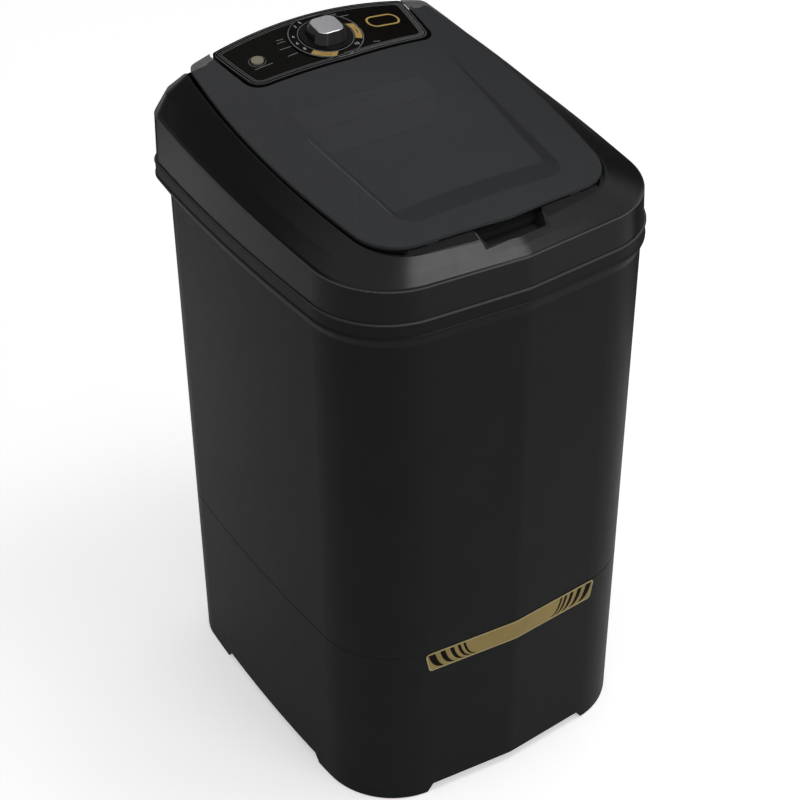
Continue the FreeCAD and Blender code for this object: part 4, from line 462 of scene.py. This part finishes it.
# Painted highlights on the steps of the bezel border, in the same light colour as the printed rings and
# labels
lines = PrintAndPaintedLight(panel)
for inset in BORDER_HIGHLIGHT_INSETS:
    lines.line(shifted(border, inset, closed=True), BORDER_HIGHLIGHT_W, closed=True)
lines.ring(DIAL, DIAL_INNER - INNER_RING_HALF, DIAL_INNER + INNER_RING_HALF)
lines.ring(DIAL, DIAL_OUTER - OUTER_RING_HALF, DIAL_OUTER + OUTER_RING_HALF)
lines.ring(BUTTON, *BUTTON_RING)
for label in LABELS:
    lines.line(label, LABEL_W)
lines.piece("panel_lines_and_highlights", light_ink_and_highlight)

# Painted light: grey bands along the front of the bezel border, standing in for its front lit by the lamp
spans = len(border) - 1
front_run = [k for k in range(spans) if (border[k + 1] - border[k]).normalized().x > FRONT_COSINE]
first = next(k for k in front_run if k - 1 not in front_run)
front_edge = [border[(first + k) % spans] for k in range(len(front_run))]
strips = PrintAndPaintedLight(panel)
for near, far in FRONT_PAINTED_LIGHT:
    strips.ribbon(shifted(front_edge, far), shifted(front_edge, near))
strips.piece("panel_front_painted_light", painted_bezel_light)

golds = PrintAndPaintedLight(panel)
for start, end in GOLD_ARCS:
    golds.ring(DIAL, GOLD_INNER, GOLD_OUTER, start, end)
reach_x, reach_y = (half - FRAME_MARK_CORNER for half in FRAME_MARK_HALF)
loop = []
for sx, sy, turn in ((1, 1, 0), (-1, 1, 90), (-1, -1, 180), (1, -1, 270)):
    corner = (FRAME_MARK[0] + sx * reach_x, FRAME_MARK[1] + sy * reach_y)
    loop += arc(corner, FRAME_MARK_CORNER, turn, turn + 90)
golds.line(resampled(loop, closed=True), FRAME_MARK_W, closed=True)
golds.piece("panel_gold", gold_ink)

ticks = PrintAndPaintedLight(panel)
for start, end in GOLD_ARCS:
    margin = TICK_MARGIN * (end - start)
    ticks.ring(DIAL, *TICK_RING, start + margin, end - margin)
ticks.piece("panel_gold_ticks", dark_ink)

figures = PrintAndPaintedLight(panel)
middle = (DIAL_INNER + DIAL_OUTER) / 2
for text, angle in FIGURES:
    turn = math.radians(angle)
    place = (DIAL[0] + middle * math.cos(turn), DIAL[1] + middle * math.sin(turn))
    figures.figure(text, place, FIGURE_H)
figures.ring(DIAL, *START_MARK, *START_MARK_TURN)
figures.piece("dial_figures", white_ink)

# Painted highlights on the frame's upper edge and on the ledge of the tub's rim, seen from above
EDGE_HIGHLIGHT = (2.15, 3.4)
LEDGE_HIGHLIGHT = (0.2, 3.0)

top = Sheet(("top_frame", "wash_tub"), *FROM_ABOVE)
for name, node, span, highlight in (("frame_edge_highlight", "top_frame", EDGE_HIGHLIGHT, painted_edge_highlight),
                                 ("rim_ledge_highlight", "wash_tub", LEDGE_HIGHLIGHT, painted_ledge_highlight)):
    rim = top.rim(node)
    edge = PrintAndPaintedLight(top)
    edge.ribbon(shifted(rim, span[1], closed=True), shifted(rim, span[0], closed=True))
    edge.piece(name, highlight)

# Painted shade on the sill in front of the lid: a dark matt film on both sides of the finger pocket,
# narrower towards its ends
SILL_ENDS = (49.5, 146.0)
SILL_NEAR = -1.0
SILL_FAR = 11.2
SILL_TAPER = 6.0

lid_rim = top.rim("lid")
sill_shade = PrintAndPaintedLight(top)
for side in (-1, 1):
    run = [p for p in lid_rim if p.y < 0 and SILL_ENDS[0] < side * p.x < SILL_ENDS[1]]
    widths = [SILL_FAR - SILL_TAPER * (p.x / SILL_ENDS[1]) ** 2 for p in run]
    outer = [p.lerp(q, width) for p, q, width in zip(run, shifted(run, -1.0), widths)]
    sill_shade.ribbon(shifted(run, -SILL_NEAR), outer)
sill_shade.piece("sill_painted_shade", painted_sill_shade)

# Painted highlight: a pale line along the left lip of the lid's pan
PAN_LIP_HIGHLIGHT = ((-141.0, 15.0), (-129.4, -168.0))
PAN_LIP_HIGHLIGHT_W = 1.3

cover = Sheet(("lid",), *FROM_ABOVE)
lip = PrintAndPaintedLight(cover)
lip.line(PAN_LIP_HIGHLIGHT, PAN_LIP_HIGHLIGHT_W)
lip.piece("pan_lip_highlight", painted_lip_highlight, "lid")

# Gold band: pale outline and slanted bars that thin out towards the middle
BAND_TOP = 289.9
BAND_LOW = 255.4
BARS = ((-139.4, 10.6), (-122.0, 8.0), (-107.0, 6.2), (-95.4, 4.6), (-86.5, 3.6))
BAR_MARGIN = 3.4
BAR_SLANT = 6.0
BAR_TAIL = 19.0
BAR_TIP = 0.8
OUTLINE_INSET = 1.0
OUTLINE_W = 1.3

band = Sheet(("front_band",), *FROM_FRONT)
outline = PrintAndPaintedLight(band)
outline.line(shifted(band.rim("front_band"), OUTLINE_INSET, closed=True), OUTLINE_W, closed=True)
outline.piece("band_outline", pale_gold_ink)

bars = PrintAndPaintedLight(band)
high = BAND_TOP - BAR_MARGIN
low = BAND_LOW + BAR_MARGIN
for centre, width in BARS:
    outer = centre - width / 2
    inner = centre + width / 2
    end = centre + BAR_TAIL
    out_row = curved((outer, high), (outer + BAR_SLANT, low), (end, low))
    in_row = curved((inner, high), (inner + BAR_SLANT, low + width / 2), (end, low + BAR_TIP))
    bars.ribbon(in_row, out_row)
    bars.ribbon([Vector((-p.x, p.y)) for p in out_row], [Vector((-p.x, p.y)) for p in in_row])
bars.piece("band_bars", dark_ink)


# Floor, world and lamps

def ramp(tree, source, span, values):
    """A smooth change from one value to another over a span of its source."""
    node = ranged(tree, source, span, values)
    node.interpolation_type = "SMOOTHSTEP"
    return node.outputs["Result"]


def reach(tree, place, direction):
    """How far a place or a ray lies along a direction."""
    coords = tree.nodes.new("ShaderNodeTexCoord")
    dot = tree.nodes.new("ShaderNodeVectorMath")
    dot.operation = "DOT_PRODUCT"
    dot.inputs[1].default_value = direction
    tree.links.new(coords.outputs[place], dot.inputs[0])
    return dot.outputs["Value"]


def only_glossy(tree, value, other):
    """A value for glossy rays, and another one for all other rays."""
    path = tree.nodes.new("ShaderNodeLightPath")
    mix = tree.nodes.new("ShaderNodeMix")
    mix.inputs[MIX_NUMBERS[0]].default_value = other
    tree.links.new(path.outputs["Is Glossy Ray"], mix.inputs[MIX_FACTOR])
    tree.links.new(value, mix.inputs[MIX_NUMBERS[1]])
    return mix.outputs[0]


def white_to_eye(tree, low, out):
    """White for camera, glossy and transmission rays, and a dimmer light for the rest."""
    path = tree.nodes.new("ShaderNodeLightPath").outputs
    bounced = maths(tree, "MAXIMUM", path["Is Glossy Ray"], path["Is Transmission Ray"])
    seen = maths(tree, "MAXIMUM", path["Is Camera Ray"], bounced)
    tree.links.new(ranged(tree, seen, (0.0, 1.0), (low, 1.0)).outputs["Result"], out)


# Dark screens behind on both sides, and a dark floor behind on the right, that only reflections show
LEFT_SCREEN = (-0.585, 0.675, 0.435)
LEFT_SPAN = (0.75, 0.97)
LEFT_DIM = 0.15
RIGHT_SCREEN = (0.66, 0.75, 0.05)
RIGHT_SPAN = (0.70, 0.90)
RIGHT_DIM = 0.03
WORLD_LIGHT = 0.6
DARK_WAY = (0.707, 0.707, 0.0)
DARK_SPAN = (0.6, 1.1)
FLOOR_HALF = 6.0
FLOOR_PALE = 0.85
FLOOR_DARK = 0.04
FLOOR_ROUGH = 0.8
FLOOR_GLOW = 0.42

world = bpy.data.worlds.new("studio")
world.use_nodes = True
scene.world = world
sky = world.node_tree
background = sky.nodes["Background"].inputs
white_to_eye(sky, WORLD_LIGHT, background["Strength"])
left_screen = ramp(sky, reach(sky, "Generated", LEFT_SCREEN), LEFT_SPAN, (1.0, LEFT_DIM))
right_screen = ramp(sky, reach(sky, "Generated", RIGHT_SCREEN), RIGHT_SPAN, (1.0, RIGHT_DIM))
screens = maths(sky, "MULTIPLY", left_screen, right_screen)
sky.links.new(only_glossy(sky, screens, 1.0), background["Color"])

floor_signs = ((-1, -1), (1, -1), (1, 1), (-1, 1))
floor_mesh = bpy.data.meshes.new("floor")
floor_mesh.from_pydata([(x * FLOOR_HALF, y * FLOOR_HALF, 0.0) for x, y in floor_signs], [], [(0, 1, 2, 3)])
floor = bpy.data.objects.new("floor", floor_mesh)
scene.collection.objects.link(floor)
pale = Nodes("floor_pale")
pale.shader.inputs["Roughness"].default_value = FLOOR_ROUGH
dark = ramp(pale.tree, reach(pale.tree, "Object", DARK_WAY), DARK_SPAN, (FLOOR_PALE, FLOOR_DARK))
pale.join(only_glossy(pale.tree, dark, FLOOR_PALE), pale.shader.inputs["Base Color"])
pale.shader.inputs["Emission Color"].default_value = (1.0, 1.0, 1.0, 1.0)
camera_ray = pale.add("ShaderNodeLightPath").outputs["Is Camera Ray"]
glow = ranged(pale.tree, camera_ray, (0.0, 1.0), (0.0, FLOOR_GLOW))
pale.join(glow.outputs["Result"], pale.shader.inputs["Emission Strength"])
floor.data.materials.append(pale.material)


def lamp(name, place, aim, size, power):
    data = bpy.data.lights.new(name, "AREA")
    data.shape = "RECTANGLE"
    data.size, data.size_y = size
    data.energy = power
    light = bpy.data.objects.new(name, data)
    light.location = place
    light.rotation_euler = (Vector(aim) - Vector(place)).to_track_quat("-Z", "Y").to_euler()
    scene.collection.objects.link(light)


lamp("key", place=(0.80, -0.64, 3.1), aim=(0, -0.27, 0.93), size=(0.7, 1.0), power=18)
lamp("fill", place=(1.0, -3.2, 1.5), aim=(0, 0, 0.5), size=(1.6, 1.6), power=26)
